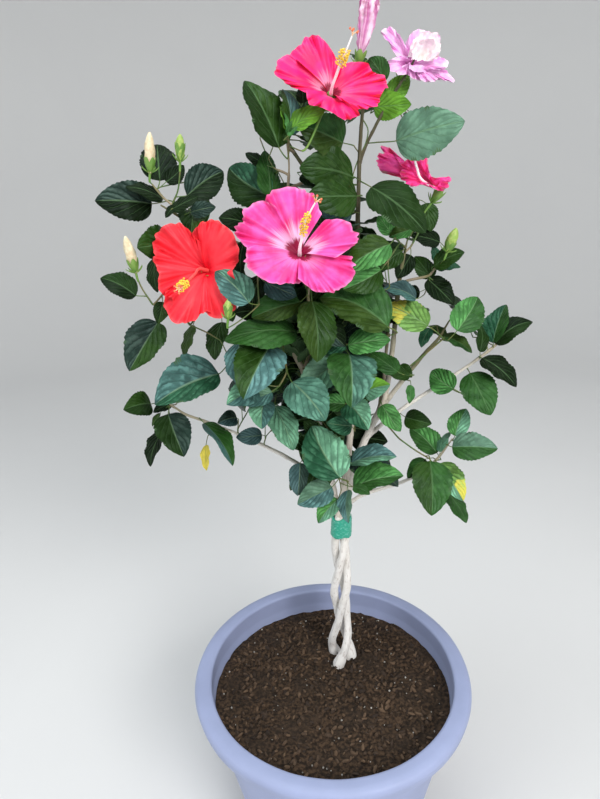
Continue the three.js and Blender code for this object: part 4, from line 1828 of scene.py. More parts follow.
class Foliage:
    """Every leaf: those of the photograph, and sprays of hidden ones that fill the crown.

    A row of its covers says what a leaf or bloom of the photograph hides: the pixels of its two ends,
    its half length and half width in pixels, its place and its normal.
    """

    seed = 29
    spray_leaves = 9
    hidden_load = 0.25
    heart = (0.02, 0.07, 1.05)

    def __init__(self, growth: Growth, limits: list) -> None:
        """Places the leaves of the photograph and the tips of the hidden sprays.

        Args:
            growth: the wood so far.
            limits: the CAD model's lowest and highest corners, which hidden leaves keep to.
        """
        self.growth = growth
        self.limits = np.array(limits) + [[-0.012], [0.012]]
        self.draw = np.random.default_rng(self.seed)
        self.blades: dict[str, list[Blade]] = {name: [] for name in MASSES}
        self.hidden: dict[str, list[Blade]] = {name: [] for name in MASSES}
        self.stalks: list[tuple[Array, Array, Blade]] = []
        self.feet: list[Array] = []
        placer = LeafPlacer()
        covers = []
        for bloom in BLOOMS:
            under = bloom.centre() - bloom.facing() * 0.012
            covers.append((*bloom.throat, *bloom.throat, bloom.spot, bloom.spot, *under, *bloom.facing()))
        for name, mass in MASSES.items():
            for order, leaf in enumerate(mass.leaves):
                depth = mass.depth + (len(mass.leaves) / 2 - order) * LAYER - leaf.nearer
                blade = placer.blade(leaf, depth, self.draw)
                self.blades[name].append(blade)
                self.feet.append(self.foot_of(blade))
                size = (math.dist(leaf.base, leaf.tip) / 2 * 1.05, leaf.width * 0.5 * 1.05)
                covers.append((*leaf.base, *leaf.tip, *size, *blade.base, *blade.normal))
        self.covers = np.array(covers)
        self.tips = {name: self.spray_tips(name, mass) for name, mass in MASSES.items()}

    def foot_of(self, blade: Blade) -> Array:
        """Where a seen leaf's stalk starts: behind its blade, towards the nearest wood.

        Args:
            blade: the leaf's blade.

        Returns:
            The place.
        """
        wood = self.growth.nearest(blade.base)
        heading = unit(0.7 * unit(wood) - 0.8 * blade.axis - 0.3 * VIEW.towards(blade.base))
        length = self.draw.uniform(0.25, 0.42) * max(blade.length, 0.03)
        return blade.base + heading * min(length, np.linalg.norm(wood) * 0.7 + 0.002)

    def spray_tips(self, name: str, mass: Mass) -> Array:
        """Seeded tips of the hidden sprays, inside the mass and behind the leaves that show.

        Args:
            name: the mass.
            mass: what it holds.

        Returns:
            The tips, (n, 3).
        """
        low, high = (np.array(corner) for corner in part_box(f"foliage_{name}"))
        low[1] = max(low[1], mass.depth + 0.02) if mass.leaves else low[1]
        heading = unit(self.draw.normal(size=(200, 3)))
        span = (0.35, 0.8) if mass.leaves else (0.55, 1.0)
        tips = (low + high) / 2 + heading * (high - low) / 2 * self.draw.uniform(*span, (200, 1))
        return tips[[self.behind(tip[None]) for tip in tips]][: mass.sprays]

    def behind(self, places: Array) -> bool:
        """Whether every place lies behind a leaf or bloom of the photograph, or where the crown is dense.

        A place in front of one that it would hide rules the leaf out.

        Args:
            places: places of one leaf, (n, 3).

        Returns:
            Whether the leaf may stay.
        """
        spots = VIEW.pixels(places)[:, None]
        corner, after = np.array(DENSE), np.roll(DENSE, -1, 0)
        rising = (corner[:, 1] > spots[..., 1]) != (after[:, 1] > spots[..., 1])
        run, climb = (after - corner).T
        crossing = corner[:, 0] + (spots[..., 1] - corner[:, 1]) / (climb + 1e-9) * run
        dense = (rising & (spots[..., 0] < crossing)).sum(1) % 2 == 1
        ends = self.covers[:, :4].reshape(-1, 2, 2)
        along = unit(ends[:, 1] - ends[:, 0] + [1e-6, 0])
        off = spots - ends.mean(1)
        ahead = (off * along).sum(-1) / self.covers[:, 4]
        aside = (off[..., 0] * along[:, 1] - off[..., 1] * along[:, 0]) / self.covers[:, 5]
        inside = ahead**2 + aside**2 < 1
        above = ((places[:, None] - self.covers[:, 6:9]) * self.covers[:, 9:]).sum(-1)
        in_front = inside & (above > -0.006)
        return bool(not in_front.any() and (inside.any(1) | dense).all())

    def spray(self, name: str, mass: Mass, tip: int) -> None:
        """Adds the leaves along the last stretch of a twig, turned by the golden angle from one to the next.

        Args:
            name: the mass.
            mass: what it holds.
            tip: number of the wood at the twig's tip.
        """
        growth, draw = self.growth, self.draw
        # Hidden leaves among seen ones take dark tints, painted shade for the inside of the crown.
        kinds = [T.DUSK, T.DEEP, T.BLUE] if mass.leaves else [T.DEEP, T.MID, T.MID, T.OLIVE, T.BLUE, T.TEAL]
        tint = draw.choice(kinds)
        turn = draw.uniform(0, 2 * math.pi)
        number = tip
        for order in range(self.spray_leaves):
            place, forward = growth.places[number], growth.forward[number]
            turn += GOLDEN_ANGLE
            radial = spoke(forward, [0.3, 0.2, 0.93], turn)
            length = draw.uniform(0.062, 0.094) * min(1.0, 0.5 + 0.16 * order)
            leave = unit(radial * 0.9 + forward * 0.5 + UP * 0.2)
            base = place + leave * draw.uniform(0.012, 0.032) * min(1.0, 0.6 + 0.15 * order)
            axis = unit(radial + forward * 0.35 + UP * draw.uniform(-0.55, 0.12))
            facing = UP * 0.9 + unit(place - self.heart) * 0.55 + draw.normal(size=3) * 0.16
            normal = unit(facing - axis * (facing @ axis))
            width = length * draw.uniform(0.6, 0.76)
            blade = Blade(base, axis, normal, length, width, tint, tint, draw.uniform())
            outline = base + np.outer([0.1, 0.4, 0.7, 1.0, 0.25, 0.25, 0.6, 0.6], axis) * length
            outline[4:] += np.outer([-0.45, 0.45, -0.4, 0.4], np.cross(axis, normal)) * width
            within = (outline > self.limits[0]).all() and (outline < self.limits[1]).all()
            if within and self.behind(outline):
                self.hidden[name].append(blade)
                self.stalks.append((place, leave, blade))
                growth.lade(number, self.hidden_load)
            for _ in range(2):
                if growth.parent[number] >= 0:
                    number = int(growth.parent[number])

    def grow(self, numbers: Array) -> None:
        """Adds the stalks and the hidden sprays once the twigs have reached them.

        Args:
            numbers: wood at the seen leaves' feet, and then at the sprays' tips.
        """
        wood = iter(numbers)
        for name in MASSES:
            for blade in self.blades[name]:
                number = next(wood)
                self.growth.lade(number)
                start = self.growth.places[number]
                leave = unit(unit(blade.base - start) + self.growth.forward[number] * 0.4)
                self.stalks.append((start, leave, blade))
        for name, mass in MASSES.items():
            for _ in self.tips[name]:
                self.spray(name, mass, int(next(wood)))

    def build(self, finishes: list[Material]) -> None:
        """Builds the leaves of each mass and all the stalks.

        Args:
            finishes: the leaf materials, one for each tint and the underside's.
        """
        for name in MASSES:
            piece = Joined(f"leaves_{name}", "foliage")
            for blades, rows, columns in ((self.blades[name], 37, 7), (self.hidden[name], 16, 5)):
                right = np.tile(np.arange(columns - 1) >= (columns - 1) / 2, rows - 1)
                for blade in blades:
                    top = blade.surface(rows, columns, self.draw)
                    # Each half of the blade takes its own colour, mostly painted light and shade from the
                    # fold.
                    halves = np.where(right, TINTS.index(blade.second), TINTS.index(blade.tint))
                    piece.sheet(top, -blade.normal * LeafPlacer.thinness, halves, UNDERSIDE, blade.mark)
            piece.build(finishes, f"foliage_{name}")
        stalks = Joined("leaf_stalks", "foliage")
        for start, leave, blade in self.stalks:
            span = 0.7 * math.dist(start, blade.base)
            end = blade.base + blade.axis * 0.002
            path = hermite(start, leave * span, end, blade.axis * span, 8)
            stalks.tube(path, (0.0005 + 0.006 * blade.length) * np.linspace(1, 0.72, 8), 5)
        stalks.build([StalkFinish("leaf_stalk", (0.085, 0.17, 0.035), (0.16, 0.19, 0.05)).material()])


# Blooms and buds


@dataclass(frozen=True)
class Petal:
    """A petal: x and y of each pixel on its margin, how far its halo shows, and how its margin stands."""

    margin: tuple[float, ...]
    halo: float = 1.0
    rise: float = 0.0
    over: float = 0.0


@dataclass(frozen=True)
class Bloom:
    """An open bloom, from its throat's pixel and depth and from the outlines of its petals.

    The column passes pixels at heights above the throat's plane, and shaft is the number of its
    finish. Anthers cover a stretch of it. Hold says how soon the petals leave the base for the throat,
    and spot is the radius in pixels that the bloom hides. The calyx ends a cup before the base, and
    None leaves it out. The heel is the pixels of the base and of the stalk's foot, where they show.
    """

    name: str
    colours: PetalColours
    throat: Pixel
    depth: float
    azimuth: float
    elevation: float
    petals: tuple[Petal, ...]
    column: tuple[tuple[float, float, float], ...] = ()
    shaft: int = 0
    anthers: tuple[float, float] = (0.48, 0.84)
    funnel: float = 0.018
    ruffle: float = 0.0052
    swirl: float = 0.003
    spot: float = 60.0
    crumple: float = 0.0
    stamens: int = 72
    hold: float = 6.0
    cup: float | None = 0.004
    filaments: float = 0.0042
    frills: float = 1.0
    heel: tuple[Pixel, Pixel] | None = None

    def facing(self) -> Array:
        """Unit direction that it faces: an azimuth from the front towards the right, and an elevation.

        Returns:
            The direction.
        """
        azimuth, elevation = math.radians(self.azimuth), math.radians(self.elevation)
        flat = [math.sin(azimuth) * math.cos(elevation), -math.cos(azimuth) * math.cos(elevation)]
        return np.array([*flat, math.sin(elevation)])

    def centre(self) -> Array:
        """The throat's place."""
        return VIEW.at_depth(np.array(self.throat), self.depth)

    def base(self) -> Array:
        """Where the petals join, behind the throat, or at the heel's first pixel.

        Returns:
            The place.
        """
        if self.heel:
            return self.lifted(np.array(self.heel[0]), -self.funnel)
        return self.centre() - self.facing() * self.funnel

    def back(self) -> Array:
        """Unit direction of the stalk away from the bloom."""
        return unit(self.foot() - self.base()) if self.heel else unit(-self.facing() - UP * 0.35)

    def foot(self) -> Array:
        """Where the flower's stalk starts, or the place at the heel's second pixel.

        Returns:
            The place.
        """
        if self.heel:
            return VIEW.at_depth(np.array(self.heel[1]), self.depth)
        return self.base() + self.back() * 0.040

    def lifted(self, pixels: Array, height: Array | float) -> Array:
        """The places that show at pixels and stand a height above the plane of the throat.

        Args:
            pixels: x and y of each, (..., 2).
            height: height above the throat's plane, one or one for each.

        Returns:
            The places, (..., 3).
        """
        rays = VIEW.rays(pixels)
        normal = self.facing()
        ahead = (self.centre() - np.array(VIEW.eye)) @ normal + height
        return np.array(VIEW.eye) + rays * (ahead / (rays @ normal))[..., None]

    def add_petal(self, piece: Joined, petal: Petal, draw: np.random.Generator) -> None:
        """Adds a petal: lines from the throat to its margin, sunk in a funnel and ruffled outwards.

        At s from the throat to the margin and u = −1..1 across, its height is
        −funnel (1 − s)^2.4 + rise s^1.6 + swirl u s + ruffle s³ (waves) + over √s.

        Args:
            piece: the piece that takes it.
            petal: the petal.
            draw: random numbers for its waves.
        """
        rows, columns = 27, 73
        throat = np.array(self.throat)
        margin = spline(np.reshape(petal.margin, (-1, 2)), columns)
        if np.cross(margin[0] - throat, margin[-1] - throat) < 0:
            margin = margin[::-1]
        s = np.linspace(0, 1, rows)[:, None]
        u = np.linspace(-1, 1, columns)[None]
        reach = 0.03 + 0.97 * s
        phase = draw.uniform(0, 2 * math.pi, 8)
        calm = 0.55 + 0.45 * np.sin(2 * math.pi * 0.8 * u + phase[7])
        edge = self.lifted(margin, 0.0)
        seed = int(draw.integers(1000))
        crimp = 0.034 * lumps(edge, 0.018, seed) + 0.036 * self.frills * lumps(edge, 0.0092, seed + 1)
        pixels = throat + (margin - throat) * (reach + calm * crimp * s**5)[..., None]
        pixels = pixels + (VIEW.pixels(self.base()) - throat) * (1 - s[..., None]) ** self.hold
        waves = np.sin(2 * math.pi * 1.1 * u + phase[0]) + 0.6 * np.sin(2 * math.pi * 2.7 * u + phase[1])
        frill = lumps(edge, 0.012, seed + 2) + 0.5 * lumps(edge, 0.006, seed + 3)
        height = petal.rise * s**1.6 - self.funnel * (1 - s) ** 2.4 + self.swirl * u * s + petal.over * s**0.5
        height = height + self.ruffle * s**2.6 * (waves + 1.2 * calm * frill * s**3) - 0.004 * s**2 * u**2
        height = height + 0.0005 * np.sin(math.pi * (u * 3.7 + phase[3] + 0.6 * s)) * s**0.8 * (1.2 - s)
        top = self.lifted(pixels, height)
        top = top + (self.crumple * s**0.5 * lumps(top, 0.011, 71))[..., None] * self.facing()
        piece.sheet(top, -self.facing() * 0.0004, 0, 1, petal.halo)

    def add_column(self, piece: Joined, draw: np.random.Generator) -> None:
        """Adds the column with its anthers on short filaments and the five stigma pads.

        Args:
            piece: the piece that takes them. Its finishes are two colours of column, the anthers, the
                filaments and the stigma.
            draw: random numbers for the anthers.
        """
        guide = [0.2, 0.9, 0.3]
        way = np.array(self.column)
        tips = self.lifted(way[:, :2], way[:, 2])
        path = evenly(spline(np.vstack([self.base(), tips]), 60), 40)
        forward = tangents(path)
        first, last = self.anthers
        along = np.linspace(0, 1, 40)
        radii = 0.0027 - 0.0008 * smooth(along, 0, 0.35) - 0.0008 * smooth(along, first, last)
        piece.tube(path, radii, 10, self.shaft)
        for order in range(self.stamens):
            at = int(39 * (first + (last - first) * order / self.stamens))
            radial = spoke(forward[at], guide, order * GOLDEN_ANGLE)
            out = radial * 0.9 + forward[at] * draw.uniform(0.1, 0.7)
            tip = path[at] + out * draw.uniform(0.7, 1.3) * self.filaments
            middle = (path[at] + tip) / 2 + forward[at] * 0.0006
            piece.tube(np.stack([path[at], middle, tip]), np.full(3, 0.0003), 3, 3)
            spread = unit(np.cross(out, forward[at])) * 0.0014
            piece.tube(np.stack([tip - spread, tip, tip + spread]), np.array([0.0006, 0.0013, 0.0006]), 5, 2)
        for lobe in range(5):
            radial = spoke(forward[-1], guide, lobe * FIFTH)
            tip = path[-1] + forward[-1] * 0.0065 + radial * 0.0055
            branch = hermite(path[-1], forward[-1] * 0.008, tip, radial * 0.006, 5)
            piece.tube(branch, np.full(5, 0.0005), 4, 3)
            bead = tip + np.linspace(-1, 1, 4)[:, None] * radial * 0.0014
            piece.tube(bead, np.array([0.0005, 0.0016, 0.0016, 0.0004]), 7, 4)


CALYX_FOOT = 0.018


def add_calyx(piece: Joined, mouth: Array, back: Array, radius: float, length: float) -> None:
    """Adds a calyx: a five-lobed cup about the foot of the petals, with a ring of thin bracts under it.

    Args:
        piece: the piece that takes it.
        mouth: the middle of its mouth.
        back: unit direction from its mouth to its foot.
        radius: its radius at the mouth.
        length: from its foot to the tips of its lobes.
    """
    sides, bracts, wall = 30, 7, 0.0006
    angle, _ = ring(sides)
    circle = spoke(back, [0.31, 0.2, 0.9], angle[:, None])
    t = np.linspace(0, 1, 12)[:, None]
    lobe = 0.66 + 0.34 * abs(np.cos(2.5 * angle))
    rise = length * t * np.where(t > 0.5, 1 + (lobe - 1) * (t - 0.5) / 0.5, 1.0)
    radii = radius * (0.24 + 0.76 * np.sin(math.pi / 2 * t) ** 0.8) * (1 + 0.05 * np.cos(5 * angle))
    foot = mouth + back * length
    outer, inner = (foot - back * rise[..., None] + circle * (radii - off)[..., None] for off in (0, wall))
    piece.rings(np.concatenate([outer, inner[::-1]]))
    for bract in range(bracts):
        heading = circle[bract * sides // bracts]
        tip = foot - back * length * 0.42 + heading * radius * 1.5
        path = hermite(foot, heading * 0.008, tip, -back * 0.008, 6)
        piece.tube(path, np.array([0.0007, 0.0009, 0.0009, 0.0008, 0.0006, 0.0002]), 5)


@dataclass(frozen=True)
class Bud:
    """A closed bud: pixels of its foot and tip, its width in pixels, its depth and how much is petal."""

    foot: Pixel
    tip: Pixel
    width: float
    depth: float
    shown: float = 0.6
    finish: int = 0

    def ends(self) -> Array:
        """Places of its foot and its tip."""
        return VIEW.at_depth(np.array([self.foot, self.tip]), self.depth)

    def add(self, petals: Joined, green: Joined) -> None:
        """Adds the bud.

        Args:
            petals: the piece that takes the rolled petals.
            green: the piece that takes the calyx.
        """
        foot, tip = self.ends()
        heading = unit(tip - foot)
        length = math.dist(foot, tip)
        radius = self.width / 2 * VIEW.scale(foot)
        t = np.linspace(0, 1, 18)
        ridges = 1 + 0.09 * np.cos(5 * (ring(15)[0] - t[:, None] * 2.4))
        body = radius * np.sin(math.pi * np.clip(0.08 + 0.9 * t**1.15, 0, 1)) ** 0.7
        bow = np.cross(heading, UP) * 0.04 * length * (4 * t * (1 - t))[:, None]
        path = foot + heading * length * t[:, None] + bow
        petals.tube(path, body[:, None] * ridges * 0.94, 15, self.finish, 0.5)
        cup = length * (1 - self.shown)
        add_calyx(green, foot + heading * cup, -heading, radius * 1.06, cup)


@dataclass(frozen=True)
class SpentBloom:
    """The closed bloom at the very top, its petals rolled into a twisted spindle."""

    pixels: tuple[float, ...] = (360.5, 54, 362, 46, 364, 36, 367, 22, 368.5, 8, 371, -4, 373, -13)
    widths: tuple[float, ...] = (4, 11, 16, 19, 21.5, 18, 6)
    depth: float = 0.052
    twist: float = 0.22
    sides: int = 60

    def way(self) -> Array:
        """The places that it passes from its foot to its tip."""
        return VIEW.at_depth(np.reshape(self.pixels, (-1, 2)), self.depth)

    def build(self, green: Joined) -> Array:
        """Builds the spindle and adds its calyx.

        Args:
            green: the piece that takes the calyx.

        Returns:
            The start of its stalk.
        """
        way = self.way()
        rows = 46
        path = spline(way, rows)
        radii = spline(np.array(self.widths)[:, None], rows)[:, 0] / 2 * VIEW.scale(way[0])
        angle, circle = ring(self.sides)
        t = np.linspace(0, 1, rows)[:, None]
        turn = angle - 2 * math.pi * self.twist * t
        folds = 0.26 * abs(np.sin(2.5 * turn + 0.6 * np.sin(5 * t))) ** 0.7
        ridges = 1 - folds + 0.07 * np.sin(9 * turn + 5 * t)
        crumple = 1 + 0.07 * lumps(path[:, None] + circle * 0.012, 0.012, 61)
        piece = Joined("spent_bloom", "blossom")
        piece.tube(path, radii[:, None] * ridges * crumple, self.sides)
        piece.build([SpentFinish().material()], "foliage_top_bloom")
        back = unit(way[0] - way[1])
        add_calyx(green, path[4], back, 0.0082, CALYX_FOOT)
        return way[0] + back * CALYX_FOOT


PINK = PetalColours(
    "pink", (0.28, 0.002, 0.045), (0.93, 0.60, 0.84), (0.78, 0.030, 0.22), (0.84, 0.090, 0.42),
    (0.93, 0.33, 0.60), (0.92, 0.16, 0.38), 0.22, 0.50, 0.9,
)
CORAL = PetalColours(
    "coral", (0.70, 0.002, 0.016), (0.80, 0.010, 0.03), (0.86, 0.018, 0.038), (0.88, 0.038, 0.058),
    (0.96, 0.12, 0.13), (0.93, 0.08, 0.08), 0.17, 0.36, 0.8,
)
ROSE = PetalColours(
    "rose", (0.24, 0.001, 0.03), (0.95, 0.60, 0.84), (0.86, 0.010, 0.12), (0.84, 0.019, 0.20),
    (0.96, 0.09, 0.28), (0.93, 0.06, 0.08), 0.19, 0.42,
)
LILAC = PetalColours(
    "lilac", (0.88, 0.24, 0.66), (0.97, 0.34, 0.76), (0.99, 0.46, 0.86), (0.99, 0.68, 0.94),
    (0.99, 0.88, 0.96), (0.99, 0.64, 0.93), 0.1, 0.5, 0.8,
)
CREAM = PetalColours(
    "cream", (0.95, 0.78, 0.80), (0.97, 0.94, 0.86), (0.97, 0.90, 0.90), (0.97, 0.76, 0.88),
    (0.95, 0.62, 0.72), (0.97, 0.80, 0.90), 0.08, 0.75,
)
CRIMSON = PetalColours(
    "crimson", (0.94, 0.32, 0.24), (0.97, 0.15, 0.22), (0.99, 0.085, 0.42), (0.98, 0.055, 0.28),
    (0.98, 0.26, 0.46), (0.97, 0.24, 0.32), 0.16, 0.34, 0.8,
)

BLOOMS = (
    Bloom("centre", PINK, (298.7, 251), -0.092, -4, 26, (
        Petal((258, 206, 264, 199, 272, 191, 290, 187, 305, 190, 316, 201, 322, 214), 1.0, 0.002),
        Petal((250, 251, 242, 243, 235, 232, 238, 217, 248, 206, 262, 201, 276, 206), 0.8, 0.0, 0.002),
        Petal((306, 281, 296, 283, 280, 285, 262, 279, 250, 268, 245, 256, 252, 244), 0.15, 0.003, 0.003),
        Petal((350, 256, 357, 267, 353, 278, 344, 287, 331, 292, 314, 290, 298, 279), 0.2, 0.004, 0.002),
        Petal((317, 230, 324, 221, 338, 219, 351, 224, 360, 238, 352, 247, 336, 258), 0.8, 0.001, 0.004),
    ), ((300, 247, 0.004), (303, 234, 0.022), (305, 222, 0.040), (310, 212, 0.050), (315, 203, 0.060)),
        spot=58),
    Bloom("left", CORAL, (203.6, 269.7), -0.050, -12, 14, (
        Petal((190, 238, 194, 230, 203, 222, 217, 221, 231, 231, 237, 243, 239, 257, 232, 271)),
        Petal((154, 262, 155, 248, 157, 235, 163, 226, 174, 224, 187, 228, 200, 242), 1.0, 0.0, 0.002),
        Petal((176, 305, 163, 294, 158, 283, 158, 272, 153, 258, 160, 248), 1.0, 0.002, 0.003),
        Petal((212, 313, 204, 313, 190, 322, 175, 323, 167, 314, 163, 300, 168, 288), 1.0, 0.004, 0.004),
        Petal((230, 262, 234, 276, 239, 290, 239, 304, 226, 316, 213, 318, 202, 308), 1.0, 0.002, 0.002),
    ), ((199, 269, 0.006), (195, 274, 0.024), (189, 280, 0.044), (183, 285, 0.060), (180, 287.5, 0.068)),
        1, (0.82, 1.0), filaments=0.0055, frills=0.4, spot=46),
    Bloom("top", ROSE, (332, 91), 0.008, 8, 34, (
        Petal((291, 68, 290, 55, 301, 42, 314, 36, 323, 39, 333, 52, 340, 68), 0.45, 0.0),
        Petal((312, 96, 300, 90, 289, 86, 278, 76, 277, 62, 288, 55, 300, 62), 0.5, 0.002, 0.003),
        Petal((336, 67, 341, 65, 350, 62, 368, 63, 371, 72, 384, 76, 388, 88), 0.1, 0.002, 0.0),
        Petal((382, 76, 386, 84, 381, 96, 377, 106, 362, 109, 350, 104, 340, 100), 0.1, 0.004, 0.002),
        Petal((360, 108, 357, 117, 343, 119, 333, 113, 320, 107, 309, 104, 306, 90), 0.1, 0.006, 0.004),
    ), ((332, 87, 0.006), (336, 76, 0.024), (341, 62, 0.044), (346, 51, 0.058), (352, 36, 0.072)),
        anthers=(0.62, 0.82), filaments=0.0062, frills=0.7, spot=46, heel=((330.5, 97), (302, 151))),
    Bloom("top_right", LILAC, (412, 62), 0.075, 10, 12, (
        Petal((403, 60, 395, 54, 389, 43, 381, 33, 385, 28, 392, 28, 400, 36, 406, 46), 0.9, 0.004),
        Petal((405, 50, 406, 41, 410, 35, 416, 30, 424, 30, 432, 31, 439, 37, 440, 48, 437, 57), 0.9, 0.0),
        Petal((415, 72, 404, 75, 394, 73, 384, 66, 388, 61, 397, 57, 406, 55), 0.5, 0.003, 0.001),
        Petal((426, 72, 421, 80, 414, 79, 406, 73, 402, 66), 0.5, 0.004, 0.001),
        Petal((446, 70, 455, 80, 450, 82, 441, 80, 434, 79, 430, 72), 0.5, 0.004, 0.0),
        Petal((440, 68, 439, 76, 434, 81, 427, 82, 420, 79, 417, 70), 0.3, 0.005, 0.002),
        Petal((436, 55, 447, 60, 448, 66, 442, 70, 430, 69, 420, 72, 411, 70, 408, 62), 0.3, 0.008, 0.003),
    ), spot=30, funnel=0.014, crumple=0.0011, cup=-0.012),
    Bloom("top_right_heart", CREAM, (420, 59), 0.066, 14, 12, (
        Petal((408, 56, 411, 44, 417, 36, 426, 32, 435, 33, 440, 40, 441, 50, 436, 60), 1.0, 0.008),
        Petal((411, 60, 413, 48, 420, 41, 429, 38, 436, 43, 437, 53, 432, 62), 1.0, 0.016),
    ), spot=22, funnel=0.010, ruffle=0.0018, crumple=0.0030, cup=None),
    Bloom("right", CRIMSON, (420, 175), 0.066, -24, 28, (
        Petal((410, 186, 400, 178, 390, 175, 380, 171, 377, 160, 381, 150, 389, 147, 396, 158, 402, 167)),
        Petal((398, 168, 404, 161, 412, 158, 420, 160, 427, 157, 428, 168, 430, 178), 0.6, 0.002, 0.002),
        Petal((424, 172, 436, 178, 448, 177, 452, 180, 448, 187, 441, 191, 430, 187), 0.5, 0.002),
        Petal((430, 184, 422, 184, 412, 187, 404, 180, 400, 172, 408, 168), 0.5, 0.008, 0.004),
    ), ((422, 180, 0.002), (417, 168, 0.008), (413, 152, 0.012), (410, 144, 0.012)), 0, (0.7, 0.95), spot=30,
        funnel=0.022, stamens=24, hold=2.2, ruffle=0.0085, frills=2.0, crumple=0.0012,
        heel=((440, 191), (424, 213))),
)

BUDS = (
    Bud((150, 173), (149.5, 132), 11, 0.0),
    Bud((180, 162), (180, 134), 10, 0.0, 0.3, 1),
    Bud((136, 273), (125, 236), 11, -0.02),
    Bud((447, 252), (456.5, 228), 11, 0.045, 0.55, 1),
    Bud((228, 319), (228, 299), 9, -0.088, 0.3, 1),
)


BUD_FINISHES = (
    PlainFinish("bud_cream", (0.70, 0.55, 0.34), (0.80, 0.72, 0.50)),
    PlainFinish("bud_green", (0.26, 0.42, 0.07), (0.40, 0.50, 0.14)),
)
COLUMN_FINISHES = (
    PlainFinish("column_pale", (0.99, 0.90, 0.93), (1.0, 0.97, 0.97)),
    PlainFinish("column_coral", (0.93, 0.07, 0.07), (0.90, 0.11, 0.10)),
    PlainFinish("pollen", (0.95, 0.56, 0.03), (0.96, 0.72, 0.10), 0.8, 0.001),
    PlainFinish("filament", (0.95, 0.60, 0.35), (0.95, 0.74, 0.50)),
    PlainFinish("stigma_pad", (0.80, 0.14, 0.07), (0.74, 0.26, 0.12), 0.8, 0.001),
)


class Blossom:
    """The blooms, the buds and their stalks."""

    def __init__(self) -> None:
        """Starts the pieces that the blooms share."""
        self.green = Joined("calyces", "foliage")
        self.buds = Joined("buds", "blossom")
        self.stamens = Joined("stamens", "blossom")
        self.spent_foot = SpentBloom().build(self.green)

    def feet(self) -> list[Array]:
        """Where each flower stalk starts: the open blooms', the buds' and the spent bloom's."""
        buds = [bud.ends()[0] + unit(bud.ends()[0] - bud.ends()[1]) * 0.012 for bud in BUDS]
        return [*(bloom.foot() for bloom in BLOOMS), *buds, self.spent_foot]

    def tops(self) -> list[tuple[Array, Array]]:
        """Where each flower stalk ends, and the direction in which it arrives.

        Returns:
            A place and a unit direction for each.
        """
        calyx = 0.020
        way = SpentBloom().way()
        ends = [*(bud.ends() for bud in BUDS), way[:2]]
        return [
            *((bloom.base() + bloom.back() * calyx, -bloom.back()) for bloom in BLOOMS),
            *((foot, unit(tip - foot)) for foot, tip in ends),
        ]

    def build(self, growth: Growth, numbers: Array) -> None:
        """Builds the blooms and buds, and the stalks that join them to the wood.

        Args:
            growth: the wood.
            numbers: the wood at each stalk's start.
        """
        draw = np.random.default_rng(47)
        for bloom in BLOOMS:
            piece = Joined(f"petals_{bloom.name}", "blossom")
            for petal in bloom.petals:
                bloom.add_petal(piece, petal, draw)
            piece.build([PetalFinish(bloom.colours, reverse).material() for reverse in (False, True)])
            if bloom.cup is not None:
                add_calyx(self.green, bloom.base() - bloom.back() * bloom.cup, bloom.back(), 0.0085, 0.024)
            if bloom.column:
                bloom.add_column(self.stamens, draw)
        for bud in BUDS:
            bud.add(self.buds, self.green)
        for number, (top, arrive) in zip(numbers, self.tops()):
            start = growth.places[number]
            span = math.dist(start, top)
            path = hermite(start, growth.forward[number] * span * 0.5, top, arrive * span * 0.7, 9)
            self.green.tube(path, np.linspace(0.0015, 0.0019, 9), 7)
        self.green.build([StalkFinish("calyx_green", (0.13, 0.28, 0.045), (0.20, 0.34, 0.07)).material()])
        self.buds.build([finish.material() for finish in BUD_FINISHES])
        self.stamens.build([finish.material() for finish in COLUMN_FINISHES])


# Studio


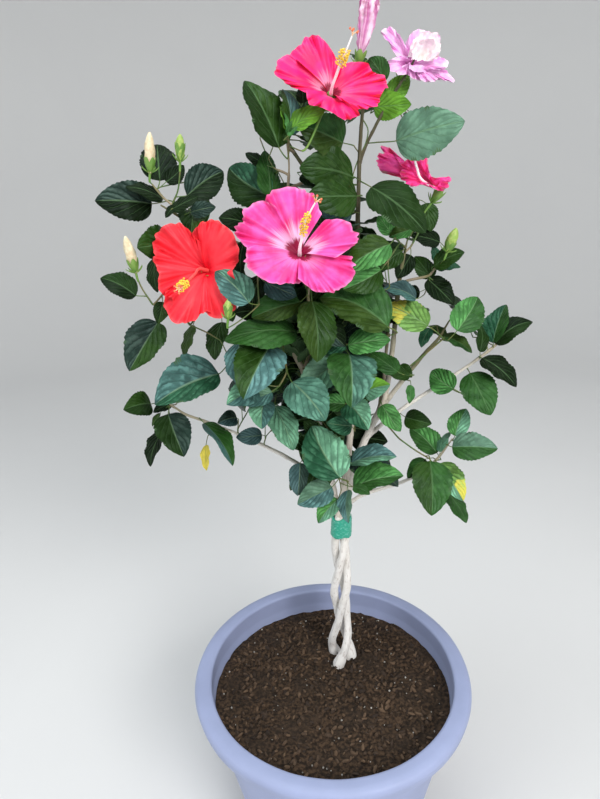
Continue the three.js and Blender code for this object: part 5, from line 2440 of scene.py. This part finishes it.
@dataclass(frozen=True)
class Studio:
    """A plain pale floor that curves up to a wall all round, and soft light."""

    flat: float = 3.3
    wall: float = 5.0
    height: float = 5.6
    key_watts: float = 100.0
    sky_watts: float = 88.0
    fill_watts: float = 30.0
    ambient: float = 0.16

    def build(self) -> None:
        """Makes the floor, the area lights and the even light of the world."""
        scene = bpy.context.scene
        scene.view_settings.view_transform = "Standard"
        turn = np.linspace(0, math.pi / 2, 16)
        bend = self.wall - self.flat
        curve = np.stack([self.flat + bend * np.sin(turn), bend * (1 - np.cos(turn))], -1)
        profile = np.vstack([[0.001, 0], [1.2, 0], curve, [self.wall, self.height]])
        sides = 96
        places = ring(sides)[1] * profile[:, None, :1] + profile[:, None, 1:] * UP
        faces, _ = grid(len(profile), sides, around=True)
        mesh = bpy.data.meshes.new("floor")
        mesh.from_pydata(places.reshape(-1, 3).tolist(), [], faces.tolist())
        mesh.shade_smooth()
        graph = Graph("floor_paint")
        clouds = graph.noise(0.5, 3.0)
        colour = graph.mix(clouds, (0.74, 0.74, 0.74), (0.77, 0.77, 0.765))
        mesh.materials.append(graph.finish(Base_Color=colour, Roughness=0.9))
        floor = bpy.data.objects.new("floor", mesh)
        scene.collection.objects.link(floor)
        floor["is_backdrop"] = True
        self.light("key", (1.4, -2.7, 2.8), 1.5, self.key_watts, (1.0, 0.98, 0.96))
        self.light("sky", (-0.2, -0.3, 4.0), 2.6, self.sky_watts, (0.92, 0.97, 1.0))
        self.light("fill", (-2.8, -1.4, 1.9), 2.0, self.fill_watts, (0.95, 0.98, 1.0))
        world = bpy.data.worlds.new("studio")
        world.use_nodes = True
        background = world.node_tree.nodes["Background"]
        background.inputs["Color"].default_value = (0.93, 0.97, 1.0, 1.0)
        background.inputs["Strength"].default_value = self.ambient
        scene.world = world

    def light(self, name: str, place: Colour, size: float, watts: float, colour: Colour) -> None:
        """Makes a square area light that looks at the middle of the crown.

        Args:
            name: its name.
            place: where it hangs.
            size: its width.
            watts: its power.
            colour: its colour.
        """
        lamp = bpy.data.lights.new(name, "AREA")
        lamp.energy = watts
        lamp.size = size
        lamp.color = colour
        holder = bpy.data.objects.new(name, lamp)
        away = unit(np.array(place) - [0.0, 0.05, 0.9])
        right = unit(np.cross(UP, away))
        turn = np.stack([right, np.cross(away, right), away], 1)
        holder.matrix_world = Matrix.Translation(place) @ Matrix(turn.tolist()).to_4x4()
        bpy.context.scene.collection.objects.link(holder)


def main() -> None:
    """Builds the plant from the pot up and finishes the frame."""
    logging.basicConfig(level=logging.INFO, format="%(message)s")
    cad_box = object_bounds()
    VIEW.make_camera()
    Studio().build()
    planter = Planter()
    planter.build()
    Soil().build(planter)
    trunk = BraidedTrunk()
    trunk.build()
    BindingTape().build(trunk)
    boughs = Boughs(trunk)
    boughs.build()
    growth = Growth(boughs)
    for shoot in SHOOTS:
        path = VIEW.at_depth(spline(np.reshape(shoot.pixels, (-1, 2)), 2 * len(shoot.pixels)), shoot.depth)
        start = growth.reach(path[:1])[0]
        growth.lade(growth.extend(path[1:], int(start)))
    foliage = Foliage(growth, cad_box)
    blossom = Blossom()
    stalks = blossom.feet()
    feet = [*stalks, *foliage.feet, *np.vstack(list(foliage.tips.values()))]
    numbers = growth.reach(np.array(feet))
    foliage.grow(numbers[len(stalks) :])
    for number in numbers[: len(stalks)]:
        growth.lade(number)
    growth.build()
    foliage.build([LeafFinish(tint).material() for tint in TINTS] + [UndersideFinish().material()])
    blossom.build(growth, numbers[: len(stalks)])


if __name__ == "__main__":
    main()
